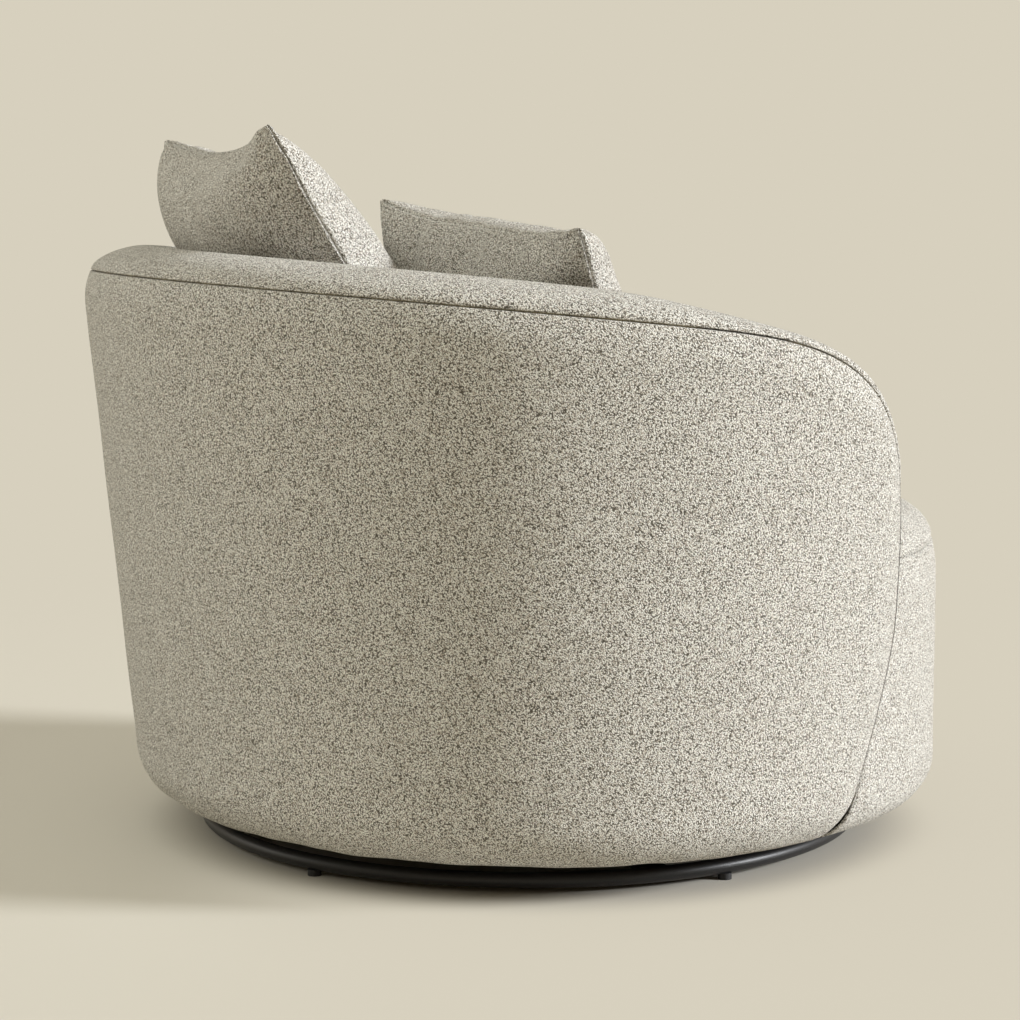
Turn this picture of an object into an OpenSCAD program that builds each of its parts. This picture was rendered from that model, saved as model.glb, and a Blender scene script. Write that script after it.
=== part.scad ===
// Round swivel tub chair with a fabric shell, a drum-fronted seat, two loose
// cushions and a black ring base. Origin on the swivel axis at the floor,
// front towards -Y, +Z up, sizes in millimetres.

/* [Shell] */
// Half of the shell's width at the foot of its wall
shell_half_width = 553; // [545:1:562]
// Distance from the swivel axis to the back of the shell at the foot of its wall
shell_half_depth = 517; // [508:1:526]
// Outward lean of the shell's wall, in degrees
shell_lean_angle = 5.5; // [4.5:0.1:6.5]
// Thickness of the padded wall
wall_thick = 150; // [146:1:158]
// Rounding where the wall turns under
low_round = 67; // [62:1:70]
// Height of the upholstery's underside above the floor
body_low = 48; // [46:1:56]
// Thickness of the cover fabric with its backing
cover_thick = 3; // [2:0.1:3.5]
// Width of the fabric that is turned under and stapled
tuck_wide = 40; // [25:1:55]

/* [Rim and arms] */
// Height of the outer seam at the middle of the back
seam_back_height = 730; // [700:1:760]
// Fall of the seam from the back to the start of the arm's corner
seam_fall = 46; // [30:1:60]
// Angle from the back where the arm's corner starts
corner_start_angle = 85; // [80:1:90]
// Angle from the back of the arm's front edge
arm_front_angle = 123.9; // [122:0.1:127]
// Height where the arm's corner has become its front edge
arm_corner_low = 322; // [300:1:360]
// Angle by which the front edge leans back at the bottom
edge_pull_angle = 9.6; // [6:0.1:11]
// Height where the front edge starts to lean back
pull_top = 300; // [270:1:320]
// Angle by which the front edge draws back above the seat
high_pull_angle = 1.4; // [0:0.1:2]
// Height over which the front edge draws back above the seat
high_pull_run = 155; // [140:1:180]
// Rise of the padded rim above its seam at the back
rim_rise_back = 30; // [24:0.5:36]
// Rise of the padded rim where the arm's corner starts
rim_rise_side = 26.5; // [20:0.5:30]
// Rise of the padded rim where it is flattest, on top of the arm
rim_rise_flat = 14; // [12:0.5:18]
// Rise of the padded rim at the arm's corner
rim_rise_arm = 22; // [16:0.5:26]
// Rise of the padded rim where the seat's drum meets it
rim_rise_low = 5; // [5:0.5:7]
// Depth of the seam's groove below the wall's face
seam_inset = 12; // [8:1:14]
// Distance over which the wall's face rolls into the seam
seam_roll = 45; // [30:1:55]

/* [Padding] */
// Thickness of the foam on the outside of the shell
outer_foam_thick = 12; // [9:1:13]
// Thickness of the foam on the inside of the shell
inner_foam_thick = 44; // [36:1:48]
// Thickness of the bent boards that carry the foam
board_thick = 3; // [2.5:0.1:4]
// Gap between soft pieces that lie on each other
soft_gap = 0.4; // [0.3:0.1:0.6]

/* [Seat] */
// Distance of the seat's drum front behind the line of the shell's half width
drum_set_in = 20; // [15:1:27]
// Rounding at the drum's lower edge
drum_low_round = 50; // [44:1:54]
// Drop from the seam around the seat's top to where the drum's face is upright
drum_face_drop = 55; // [49:1:58]
// Height of the seam around the top of the drum
seat_seam_height = 385; // [378:1:390]
// Distance of that seam behind the drum's face
seat_seam_inset = 12; // [9:1:15]
// Crown of the seat's top above its seam
seat_crown = 60; // [50:1:66]
// Thickness of the fibre layer under the seat's cover
wadding_thick = 15; // [12:1:18]
// Depth of the seat's foam below that seam
seat_foam_deep = 73; // [67:1:75]

/* [Frame] */
// Thickness of the frame's plywood
ply_thick = 18; // [16:1:20]
// Angle between two ribs
rib_step_angle = 25; // [24:0.5:25.5]
// Angle of the arm posts from the back
post_angle = 109.5; // [108:0.5:110]
// Inset of the arm posts behind the wall's face
post_inset = 28; // [24:1:36]
// Distance of the top rail below the seam
rail_drop = 8; // [6:1:12]
// Distance of the opening for the springs from the shell's inner face at the sides
spring_side_margin = 143; // [133:1:163]
// Distance of the opening for the springs from the shell's inner face at the back
spring_back_margin = 117; // [107:1:147]
// Number of seat springs
spring_count = 5; // [3:1:6]
// Number of bends along one spring
spring_bends = 9; // [6:1:11]
// Width of a spring from bend to bend
spring_wide = 44; // [36:1:50]
// Thickness of the spring wire
spring_wire = 4; // [3.4:0.1:4.4]

/* [Base] */
// Outer radius of the base ring
ring_radius = 435; // [420:1:445]
// Diameter of the ring's round bar
ring_bar = 19; // [17:1:21]
// Height of the glides under the ring
glide_high = 7; // [5:0.5:9]
// Diameter of a glide
glide_wide = 17; // [15:1:19]
// Number of glides
glide_count = 5; // [3:1:6]
// Angle of the first glide off the sitter's left, seen from above
glide_start_angle = 120; // [105:1:135]
// Width of a spoke
spoke_wide = 32; // [26:1:38]
// Thickness of a spoke
spoke_thick = 8; // [6:1:9]
// Side of the hub plate and of the lower swivel plate
hub_side = 180; // [172:1:190]
// Thickness of the hub plate
hub_thick = 5; // [4:0.5:6]
// Side of the upper swivel plate
upper_plate_side = 200; // [196:1:210]
// Thickness of the swivel plates
plate_thick = 3; // [2.5:0.1:3.5]
// Radius of the ball race
race_radius = 62; // [58:1:64]
// Diameter of a bearing ball
ball_wide = 10; // [9:0.5:11]
// Number of bearing balls
ball_count = 24; // [16:1:28]
// Diameter of the pivot bolt
pivot_wide = 12; // [10:1:14]

/* [Cushions] */
// Width of the back cushion
back_cushion_wide = 502; // [480:1:520]
// Height of the back cushion along its lean
back_cushion_high = 527; // [510:1:535]
// Depth of the back cushion's front, out from its edge seam
back_cushion_front = 92; // [84:1:98]
// Depth of the back cushion's rear, out from its edge seam
back_cushion_rear = 86; // [84:1:98]
// Lean of the back cushion, in degrees
back_lean_angle = 30.5; // [28:0.5:33]
// Tilt of the back cushion to its left side, in degrees
back_tilt_angle = -2; // [-3:0.1:3]
// Distance of the back cushion's foot from the shell's inner face
back_cushion_stand = 244; // [236:1:250]
// Width of the lumbar cushion
lumbar_wide = 458; // [430:1:470]
// Height of the lumbar cushion along its lean
lumbar_high = 384; // [360:1:396]
// Depth of the lumbar cushion's front, out from its edge seam
lumbar_front = 98; // [86:1:104]
// Depth of the lumbar cushion's rear, out from its edge seam
lumbar_rear = 60; // [50:1:68]
// Lean of the lumbar cushion, in degrees
lumbar_lean_angle = 22; // [18:0.5:24]
// Turn of the lumbar cushion towards the sitter's left, in degrees
lumbar_turn_angle = 10.3; // [6:0.1:12]
// Tilt of the lumbar cushion, lifting its left side, in degrees
lumbar_tilt_angle = 3.9; // [0:0.1:5]
// Distance of the lumbar cushion's foot in front of the back cushion's foot
lumbar_step = 139; // [136:1:160]
// Distance of the lumbar cushion's side from the shell's inner face
lumbar_side_gap = 62; // [56:1:86]
// Thickness of a cushion's edge seam
edge_thick = 5; // [4:0.5:7]
// Thickness of a cushion's cover
cushion_cover_thick = 3; // [2:0.1:3.5]

/* [Hidden] */

fabric_colour = "#b9b2a0";
foam_colour = "#e8dfc4";
ply_colour = "#c9a873";
board_colour = "#8f7a55";
black_colour = "#1c1c1e";
steel_colour = "#a8abb0";

// Counts that set how finely curved sheets are cut
back_steps = 10;
corner_steps = 7;
down_steps = 6;
nose_steps = 12;
smooth = 96;
small_smooth = 32;

// Shares that shape the seam's path and the lean of the front edge
corner_power_share = 3.2;
fall_power_share = 2;
pull_power_share = 1.4;
rise_flat_share = 0.4;
rise_drop_share = 0.2;
dome_back_share = 1.6;
dome_arm_share = 3;
dome_low_share = 2;
dome_turn_share = 0.6;
drum_power_share = 2.2;
cover_roll_share = 2;
foam_roll_share = 0.6;

// Overrun of a cut past the face that it leaves through
overrun = 1;
// Gap left at a welded or glued joint
joint_gap = 0.15;
// Gap between the two edges of a sewn seam
seam_gap = 0.5;
// Gap along the seam between the wall's covers and the rim's, cut in facets
edge_gap = 1.2;
// Gap between the rim's foam and the rail under it
rail_gap = 1.5;
// Gap between the rim's foam and the ends of the wall's layers
layer_gap = 2.5;
// Angle of one facet where the wall turns under
turn_step_angle = 30;
// Running clearance on the radius of the pivot and of the balls
running_gap = 0.05;

// Levels of the base, from the floor up
ring_mid = glide_high + ring_bar / 2;
spoke_low = ring_mid - spoke_thick / 2;
hub_low = spoke_low + spoke_thick + joint_gap;
lower_plate_low = hub_low + hub_thick + joint_gap;
lower_plate_top = lower_plate_low + plate_thick;
board_low = body_low + cover_thick + soft_gap;
upper_plate_top = board_low - joint_gap;
upper_plate_low = upper_plate_top - plate_thick;
ball_mid = (lower_plate_top + upper_plate_low) / 2;
race_gap = ball_wide / 4;
cage_thick = race_gap / 2;
race_wide = ball_wide * 2;
ring_line = ring_radius - ring_bar / 2;

// Sizes that follow the shell and the seat
drum_radius = shell_half_width - drum_set_in;
drum_face_top = seat_seam_height - drum_face_drop;
seat_foam_low = seat_seam_height - seat_foam_deep;
spring_opening_wide = 2 * (shell_half_width - wall_thick - spring_side_margin);
spring_opening_deep = 2 * (shell_half_depth - wall_thick - spring_back_margin);

// Levels of the body
board_top = board_low + ply_thick;
wall_foot = body_low + low_round;
seat_frame_low = seat_foam_low - ply_thick - spring_wire - 2 * soft_gap;
seat_frame_top = seat_frame_low + ply_thick;
wall_pad_low = seat_frame_top + soft_gap;
crown_top = seat_seam_height + seat_crown;
band_low = wall_foot - low_round / 2 + cover_thick;

// Depths of the wall's layers, measured in from its face
outer_foam_out = cover_thick + 3 * soft_gap;
outer_foam_in = outer_foam_out + outer_foam_thick;
outer_board_out = outer_foam_in + soft_gap;
outer_board_in = outer_board_out + board_thick;
cavity_out = outer_board_in + soft_gap;
inner_cover_out = wall_thick - cover_thick;
inner_foam_in = inner_cover_out - soft_gap;
inner_foam_out = inner_foam_in - inner_foam_thick;
inner_board_in = inner_foam_out - soft_gap;
inner_board_out = inner_board_in - board_thick;
cavity_in = inner_board_out - soft_gap;
rib_in = cavity_in - joint_gap;
// A bent sheet is cut from flat facets, and a facet's middle lies this much deeper
facet_sag = (shell_half_depth + seam_inset) * (1 - cos(corner_start_angle / back_steps / 2)) + joint_gap;
band_half = (wall_thick - seam_inset) / 2;

function clamp_share(v) = max(0, min(1, v));
function mix(a, b, share) = a + (b - a) * share;
function smooth_share(v) = let(s = clamp_share(v)) s * s * (3 - 2 * s);

// The wall: half width and half depth at a height, and a point on the wall
// from its angle off the back, its height and its depth below the face
function lean_out(z) = (max(z, wall_foot) - wall_foot) * tan(shell_lean_angle);
function half_width(z) = shell_half_width + lean_out(z);
function half_depth(z) = shell_half_depth + lean_out(z);
function pull_at(z) =
    edge_pull_angle * pow(clamp_share((pull_top - z) / (pull_top - body_low)), pull_power_share)
    + high_pull_angle * clamp_share((z - arm_corner_low) / high_pull_run);
function pulled(angle, z) =
    angle - sign(angle) * pull_at(z)
    * pow(clamp_share((abs(angle) - corner_start_angle) / (arm_front_angle - corner_start_angle)), 2);
function wall_point(angle, z, depth) =
    let(a = pulled(angle, z))
    [-(half_width(z) - depth) * sin(a), (half_depth(z) - depth) * cos(a), z];

// The seam's path as stations of [angle, height], from the right arm's foot
// over the back to the left arm's foot
function gentle_height(angle) =
    seam_back_height - seam_fall * pow(abs(angle) / corner_start_angle, fall_power_share);
function seam_station(angle, share) =
    [angle, arm_corner_low + (gentle_height(angle) - arm_corner_low) * share];
corner_run_angle = arm_front_angle - corner_start_angle;
half_path = concat(
    [for (i = [0 : back_steps]) seam_station(corner_start_angle * i / back_steps, 1)],
    [for (i = [1 : corner_steps])
        let(a = 90 * i / corner_steps)
        seam_station(corner_start_angle + corner_run_angle * pow(sin(a), 2 / corner_power_share),
            pow(cos(a), 2 / corner_power_share))],
    [for (i = [1 : down_steps]) [arm_front_angle, mix(arm_corner_low, band_low, i / down_steps)]]
);
half_count = len(half_path) - 1;
seam_path = concat(
    [for (i = [half_count : -1 : 1]) [-half_path[i][0], half_path[i][1]]], half_path
);
path_last = len(seam_path) - 1;
all_stations = [0 : path_last];
wall_stations = [down_steps : path_last - down_steps];
arc_per_degree = (half_width(seam_back_height) + half_depth(seam_back_height)) / 2 * PI / 180;
flat_path = [for (s = seam_path) [s[0] * arc_per_degree, s[1]]];

function path_up(k) =
    let(run = flat_path[min(k + 1, path_last)] - flat_path[max(k - 1, 0)])
    [-run[1], run[0]] / norm(run);
function shifted(k, rise) =
    [seam_path[k][0] + rise * path_up(k)[0] / arc_per_degree,
        seam_path[k][1] + rise * path_up(k)[1]];
function segment_distance(p, a, b) =
    let(ab = b - a, t = clamp_share(((p - a) * ab) / (ab * ab))) norm(p - a - t * ab);
function seam_distance(angle, z) =
    let(p = [angle * arc_per_degree, z])
    min([for (k = [1 : path_last]) segment_distance(p, flat_path[k - 1], flat_path[k])]);
function roll_inset(angle, z, power) =
    seam_inset * pow(1 - clamp_share(seam_distance(angle, z) / seam_roll), power);
rise_table = [
    [0, rim_rise_back],
    [corner_start_angle - rise_drop_share * corner_run_angle, rim_rise_back],
    [corner_start_angle, rim_rise_side],
    [corner_start_angle + rise_drop_share * corner_run_angle, (rim_rise_side + 4 * rim_rise_flat) / 5],
    [corner_start_angle + rise_flat_share * corner_run_angle, rim_rise_flat],
    [arm_front_angle, rim_rise_arm]
];
function low_share(k) = clamp_share((crown_top + 3 * rim_rise_arm - seam_path[k][1]) / seat_crown);
function rise_at(k) = mix(lookup(abs(seam_path[k][0]), rise_table), rim_rise_low, low_share(k));

// A closed slab between two sheets of points with the same columns and rows
module slab(face, back) {
    cols = len(face);
    rows = len(face[0]);
    i_mid = floor(cols / 2) - 1;
    j_mid = floor(rows / 2) - 1;
    corner = face[i_mid][j_mid];
    normal = cross(face[i_mid + 1][j_mid] - corner, face[i_mid][j_mid + 1] - corner);
    outward = normal * (corner - back[i_mid][j_mid]) > 0;
    top = outward ? face : back;
    low = outward ? back : face;
    points = concat([for (column = top) each column], [for (column = low) each column]);
    half = cols * rows;
    faces = concat(
        [for (i = [0 : cols - 2], j = [0 : rows - 2])
            let(a = i * rows + j, b = a + rows) each [[a, a + 1, b + 1], [a, b + 1, b]]],
        [for (i = [0 : cols - 2], j = [0 : rows - 2])
            let(a = half + i * rows + j, b = a + rows) each [[a, b + 1, a + 1], [a, b, b + 1]]],
        [for (i = [0 : cols - 2])
            let(a = i * rows, b = a + rows, c = a + rows - 1, d = b + rows - 1)
            each [[a, b, b + half], [a, b + half, a + half],
                [d, c, c + half], [d, c + half, d + half]]],
        [for (j = [0 : rows - 2])
            let(a = j, b = j + 1, c = (cols - 1) * rows + j, d = c + 1)
            each [[b, a, a + half], [b, a + half, b + half],
                [c, d, d + half], [c, d + half, c + half]]]
    );
    polyhedron(points, faces);
}

// A closed pad from loops of points, lowest first, with a point at each end. Its
// facets are cut alike on both faces, so that one layer fits on the next.
module pad(loops, low_point, top_point) {
    n = len(loops[0]);
    last = len(loops) - 1;
    points = concat([for (loop = loops) each loop], [low_point, top_point]);
    low_index = n * (last + 1);
    faces = concat(
        [for (k = [0 : last - 1], i = [0 : n - 1])
            let(a = k * n + i, b = k * n + (i + 1) % n)
            each norm(loops[k + 1][i]) < norm(loops[k][i])
                ? [[a, a + n, b], [b, a + n, b + n]]
                : [[a, a + n, b + n], [a, b + n, b]]],
        [for (i = [0 : n - 1]) [(i + 1) % n, low_index, i]],
        [for (i = [0 : n - 1]) [last * n + i, low_index + 1, last * n + (i + 1) % n]]
    );
    polyhedron(points, faces);
}

// Rows of one wall column, as [height, depth], from the seam down to the foot
roll_shares = [0, 0.22, 0.53, 1];
wall_shares = [0.34, 0.67, 1];
function wall_rows(top, low, depth) =
    concat(
        [for (s = roll_shares) [top - s * seam_roll, depth]],
        [for (s = wall_shares) [mix(top - seam_roll, low, s), depth]]
    );
function turned_under_rows(depth) =
    concat(
        [for (a = [turn_step_angle : turn_step_angle : 90])
            [wall_foot - (low_round - depth) * sin(a), low_round - (low_round - depth) * cos(a)]],
        [[body_low + depth, low_round + tuck_wide]]
    );
function wall_column(k, drop, rows, roll_power) =
    let(s = shifted(k, -drop))
    [for (r = rows) wall_point(s[0], r[0],
        r[1] + (roll_power > 0 ? roll_inset(s[0], r[0], roll_power) : 0))];
function wall_sheet(drop, low, depth, roll_power) =
    [for (k = wall_stations)
        wall_column(k, drop, wall_rows(shifted(k, -drop)[1], low, depth), roll_power)];

// A sheet across the rim: stations along the seam, points over its dome
dome_steps = 8;
dome_shares = [for (j = [0 : dome_steps]) -cos(180 * j / dome_steps)];
function dome_power(k) =
    let(
        start = dome_turn_share * corner_start_angle,
        upper = mix(dome_back_share, dome_arm_share,
            clamp_share((abs(seam_path[k][0]) - start) / (corner_run_angle + start)))
    )
    mix(upper, dome_low_share, low_share(k));
function dome_height(k, share) =
    let(power = dome_power(k)) pow(max(0, 1 - pow(abs(share), power)), 1 / power);
function rail_point(k, depth, rise) =
    let(s = shifted(k, rise)) wall_point(s[0], s[1], depth);
// Where the wall turns under, the rim's outer edge draws in with it
function low_inset(z) = max(0, wall_foot - z) * tan(turn_step_angle / 2);
function rim_point(k, share, skin, rise) =
    let(s = shifted(k, rise))
    wall_point(s[0], s[1], seam_inset + band_half + (band_half - skin) * share
        + low_inset(s[1]) * (1 - share) / 2);
function dome_sheet(skin) =
    [for (k = all_stations) [for (s = dome_shares)
        rim_point(k, s, skin, (rise_at(k) - skin) * dome_height(k, s))]];
function rim_under_sheet(skin, drop) =
    [for (k = all_stations) [for (s = dome_shares) rim_point(k, s, skin, -drop)]];

// The seat's outline: inside the shell at the back, the round drum in front
face_angle = atan2(
    half_width(seat_seam_height) * sin(arm_front_angle), half_depth(seat_seam_height) * cos(arm_front_angle)
);
inside_steps = 26;
front_gap = rim_rise_low + cover_thick + 2 * seam_gap;
inside_end_angle = arm_front_angle + front_gap / (half_depth(seat_seam_height) - wall_thick) * 180 / PI;
nose_start_angle = face_angle + front_gap / drum_radius * 180 / PI;
function nose_point(radius, angle, z) = [-radius * sin(angle), radius * cos(angle), z];
inside_face = wall_thick + soft_gap;
seat_inside = inside_face - seat_seam_inset + facet_sag + edge_gap;
function seat_outline(z, inset) =
    concat(
        [for (i = [0 : inside_steps])
            wall_point(inside_end_angle * (2 * i / inside_steps - 1), z, seat_inside + inset)],
        [for (i = [0 : nose_steps])
            nose_point(drum_radius - inset,
                mix(nose_start_angle, 360 - nose_start_angle, i / nose_steps), z)]
    );
// Crown of the seat's top: shares of the drum's radius in from the edge and of the crown
crown_shares = [[0.047, 0.18], [0.098, 0.36], [0.216, 0.66], [0.43, 0.91]];
crown_table = concat([[seat_seam_inset, seat_seam_height]],
    [for (s = crown_shares) [s[0] * drum_radius, seat_seam_height + seat_crown * s[1]]],
    [[drum_radius, crown_top]]);
function seat_top(p) = lookup(drum_radius - norm([p[0], p[1]]), crown_table);
seat_wall_height = seat_top([half_width(seat_seam_height) - wall_thick, 0]);

// Loops of a crowned seat layer whose top lies a drop below the cover's face.
// Each follows the outline at the wall and a circle of the crown in front.
edge_shares = [1, 0.99, 0.97, 0.94, 0.9];
function crown_loop(i, inset, drop) =
    [for (p = seat_outline(seat_wall_height, seat_seam_inset + inset))
        let(s = min(edge_shares[i], (drum_radius - crown_table[i][0]) / norm([p[0], p[1]])))
        [s * p[0], s * p[1], seat_top(s * p) - drop]];
function crown_loops(drop) =
    [for (i = [0 : len(edge_shares) - 1]) crown_loop(i, layer_inset, drop)];
layer_inset = cover_thick + edge_gap;
function reversed(list) = [for (i = [len(list) - 1 : -1 : 0]) list[i]];

// One quarter turn for each index
module quarters() {
    for (i = [0 : 3])
        rotate([0, 0, 90 * i])
            children();
}

module around(count, radius, start = 0) {
    for (i = [0 : count - 1])
        rotate([0, 0, start + 360 * i / count])
            translate([radius, 0, 0])
                children();
}

// A hexagonal prism by its width across flats
module hexagon(across, high) {
    cylinder(h = high, d = across / cos(30), $fn = 6);
}

/* Base */

module ring_body(radius, bar) {
    translate([0, 0, ring_mid])
        rotate_extrude($fn = smooth)
            translate([radius, 0])
                circle(d = bar, $fn = small_smooth);
}

glide_hole = 5;
glide_screw_long = ring_bar * 0.6;

module base_ring() {
    color(black_colour)
        difference() {
            ring_body(ring_line, ring_bar);
            around(glide_count, ring_line, glide_start_angle) {
                translate([0, 0, glide_high - overrun])
                    cylinder(h = glide_screw_long + overrun, d = glide_hole, $fn = small_smooth);
                translate([0, 0, glide_high - overrun])
                    cylinder(h = overrun + glide_seat, d = glide_wide + 2 * joint_gap, $fn = smooth);
            }
        }
}

// Depth of the flat that seats a glide under the ring
glide_seat = 1;

module glides() {
    color(black_colour)
        around(glide_count, ring_line, glide_start_angle)
            difference() {
                cylinder(h = glide_high + glide_seat - joint_gap, d = glide_wide, $fn = smooth);
                translate([0, 0, -overrun])
                    cylinder(h = glide_high + glide_seat + 2 * overrun, d = glide_hole,
                        $fn = small_smooth);
                translate([0, 0, -overrun])
                    cylinder(h = glide_high / 2 + overrun, d = glide_hole * 2,
                        $fn = small_smooth);
            }
}

module glide_screws() {
    color(steel_colour)
        around(glide_count, ring_line, glide_start_angle) {
            translate([0, 0, glide_high / 2 + joint_gap])
                cylinder(h = glide_high / 2 + glide_screw_long - 2 * joint_gap,
                    d = glide_hole - 2 * joint_gap, $fn = small_smooth);
            translate([0, 0, glide_high / 4])
                cylinder(h = glide_high / 4 - joint_gap, d = glide_hole * 1.8,
                    $fn = small_smooth);
            translate([0, 0, glide_high / 4])
                cylinder(h = glide_high / 2, d = glide_hole - 2 * joint_gap,
                    $fn = small_smooth);
        }
}

module base_spoke(i) {
    color(black_colour)
        rotate([0, 0, 90 * (i - 1)])
            difference() {
                translate([spoke_wide / 2 + joint_gap, -spoke_wide / 2, spoke_low])
                    cube([ring_line, spoke_wide, spoke_thick]);
                ring_body(ring_line, ring_bar + 2 * joint_gap);
                translate([0, 0, spoke_low - overrun])
                    difference() {
                        cylinder(h = spoke_thick + 2 * overrun, r = ring_radius * 2,
                            $fn = smooth);
                        translate([0, 0, -overrun])
                            cylinder(h = spoke_thick + 4 * overrun, r = ring_line, $fn = smooth);
                    }
            }
}

hub_bolt = 8;
hub_bolt_place = hub_side / 2 - hub_bolt * 2.5;
bolt_head_high = hub_bolt * 0.55;
nut_across = hub_bolt * 1.6;
nut_high = hub_bolt * 0.7;
pivot_head = pivot_wide * 2.2;
pivot_head_high = pivot_wide * 0.4;

// A flat plate with round corners, made of exact pieces
module round_plate(side, thick, corner) {
    translate([-side / 2 + corner, -side / 2, 0])
        cube([side - 2 * corner, side, thick]);
    translate([-side / 2, -side / 2 + corner, 0])
        cube([side, side - 2 * corner, thick]);
    for (x = [-1, 1], y = [-1, 1])
        translate([x * (side / 2 - corner), y * (side / 2 - corner), 0])
            cylinder(h = thick, r = corner, $fn = small_smooth);
}

module corner_places(place) {
    for (x = [-1, 1], y = [-1, 1])
        translate([x * place, y * place, 0])
            children();
}

module hub_plate() {
    color(black_colour)
        translate([0, 0, hub_low])
            difference() {
                round_plate(hub_side, hub_thick, hub_bolt * 1.5);
                translate([0, 0, -overrun])
                    cylinder(h = hub_thick + 2 * overrun, d = pivot_wide + 2 * joint_gap,
                        $fn = smooth);
                corner_places(hub_bolt_place)
                    translate([0, 0, -overrun])
                        cylinder(h = hub_thick + 2 * overrun, d = hub_bolt + 2 * joint_gap,
                            $fn = small_smooth);
            }
}

module hub_bolts() {
    color(steel_colour)
        corner_places(hub_bolt_place) {
            translate([0, 0, hub_low - nut_high - joint_gap])
                cylinder(h = lower_plate_top + 2 * joint_gap - hub_low + nut_high,
                    d = hub_bolt, $fn = small_smooth);
            translate([0, 0, lower_plate_top + joint_gap])
                hexagon(nut_across, bolt_head_high);
        }
}

module hub_nuts() {
    color(steel_colour)
        corner_places(hub_bolt_place)
            translate([0, 0, hub_low - nut_high - joint_gap])
                difference() {
                    hexagon(nut_across, nut_high);
                    translate([0, 0, -overrun])
                        cylinder(h = nut_high + 2 * overrun, d = hub_bolt + 2 * running_gap,
                            $fn = small_smooth);
                }
}

// The raised track of a swivel plate, with its ball groove
module race_track(low, top) {
    translate([0, 0, low])
        difference() {
            cylinder(h = top - low, r = race_radius + race_wide / 2, $fn = smooth);
            translate([0, 0, -overrun])
                cylinder(h = top - low + 2 * overrun, r = race_radius - race_wide / 2,
                    $fn = smooth);
            translate([0, 0, ball_mid - low])
                rotate_extrude($fn = smooth)
                    translate([race_radius, 0])
                        circle(d = ball_wide + 2 * running_gap, $fn = small_smooth);
        }
}

module lower_swivel_plate() {
    color(steel_colour)
        difference() {
            union() {
                translate([0, 0, lower_plate_low])
                    round_plate(hub_side, plate_thick, hub_bolt * 1.5);
                race_track(lower_plate_low, ball_mid - race_gap / 2);
            }
            translate([0, 0, lower_plate_low - overrun])
                cylinder(h = plate_thick + 2 * overrun, d = pivot_wide + 2 * joint_gap,
                    $fn = smooth);
            corner_places(hub_bolt_place)
                translate([0, 0, lower_plate_low - overrun])
                    cylinder(h = plate_thick + 2 * overrun, d = hub_bolt + 2 * joint_gap,
                        $fn = small_smooth);
        }
}

module ball_cage() {
    color("#c8b060")
        translate([0, 0, ball_mid - cage_thick / 2])
            difference() {
                cylinder(h = cage_thick, r = race_radius + race_wide / 2, $fn = smooth);
                translate([0, 0, -overrun])
                    cylinder(h = cage_thick + 2 * overrun, r = race_radius - race_wide / 2,
                        $fn = smooth);
                around(ball_count, race_radius)
                    translate([0, 0, -overrun])
                        cylinder(h = cage_thick + 2 * overrun,
                            d = ball_wide + 4 * running_gap, $fn = small_smooth);
            }
}

module bearing_balls() {
    color(steel_colour)
        around(ball_count, race_radius)
            translate([0, 0, ball_mid])
                sphere(d = ball_wide, $fn = small_smooth);
}

plate_bolt_place = upper_plate_side / 2 - hub_bolt * 1.5;
pivot_washer_thick = pivot_wide / 6;
pivot_washer_low = upper_plate_top + running_gap;
pivot_nut_low = pivot_washer_low + pivot_washer_thick + joint_gap;
pivot_nut_high = pivot_wide * 0.6;
pivot_nut_across = pivot_wide * 1.5;
pivot_pocket = pivot_wide * 2.6;

module pivot_bolt() {
    color(steel_colour) {
        translate([0, 0, hub_low - joint_gap - pivot_head_high])
            cylinder(h = pivot_head_high, d = pivot_head - 2 * joint_gap, $fn = smooth);
        translate([0, 0, hub_low - joint_gap - pivot_head_high])
            cylinder(h = pivot_nut_low + pivot_nut_high - hub_low + pivot_head_high,
                d = pivot_wide, $fn = smooth);
    }
}

module pivot_washer() {
    color(steel_colour)
        translate([0, 0, pivot_washer_low])
            difference() {
                cylinder(h = pivot_washer_thick, d = pivot_wide * 2, $fn = smooth);
                translate([0, 0, -overrun])
                    cylinder(h = pivot_washer_thick + 2 * overrun,
                        d = pivot_wide + 2 * running_gap, $fn = smooth);
            }
}

module pivot_nut() {
    color(steel_colour)
        translate([0, 0, pivot_nut_low])
            difference() {
                hexagon(pivot_nut_across, pivot_nut_high);
                translate([0, 0, -overrun])
                    cylinder(h = pivot_nut_high + 2 * overrun,
                        d = pivot_wide + 2 * running_gap, $fn = smooth);
            }
}

/* Frame of the body */

module upper_swivel_plate() {
    color(steel_colour)
        difference() {
            union() {
                translate([0, 0, upper_plate_low])
                    round_plate(upper_plate_side, plate_thick, hub_bolt);
                race_track(ball_mid + race_gap / 2, upper_plate_top);
            }
            translate([0, 0, upper_plate_low - overrun])
                cylinder(h = plate_thick + 2 * overrun, d = pivot_wide + 2 * running_gap,
                    $fn = smooth);
            corner_places(plate_bolt_place)
                translate([0, 0, upper_plate_low - overrun])
                    cylinder(h = plate_thick + 2 * overrun, d = hub_bolt + 2 * joint_gap,
                        $fn = small_smooth);
        }
}

tee_nut_wide = hub_bolt * 1.4;
tee_nut_flange = hub_bolt * 2.6;
tee_nut_flange_thick = hub_bolt / 5;

module plate_bolts() {
    color(steel_colour)
        corner_places(plate_bolt_place) {
            translate([0, 0, upper_plate_low - joint_gap - bolt_head_high])
                hexagon(nut_across, bolt_head_high);
            translate([0, 0, upper_plate_low - joint_gap - bolt_head_high])
                cylinder(h = board_top - upper_plate_low + bolt_head_high, d = hub_bolt,
                    $fn = small_smooth);
        }
}

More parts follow.
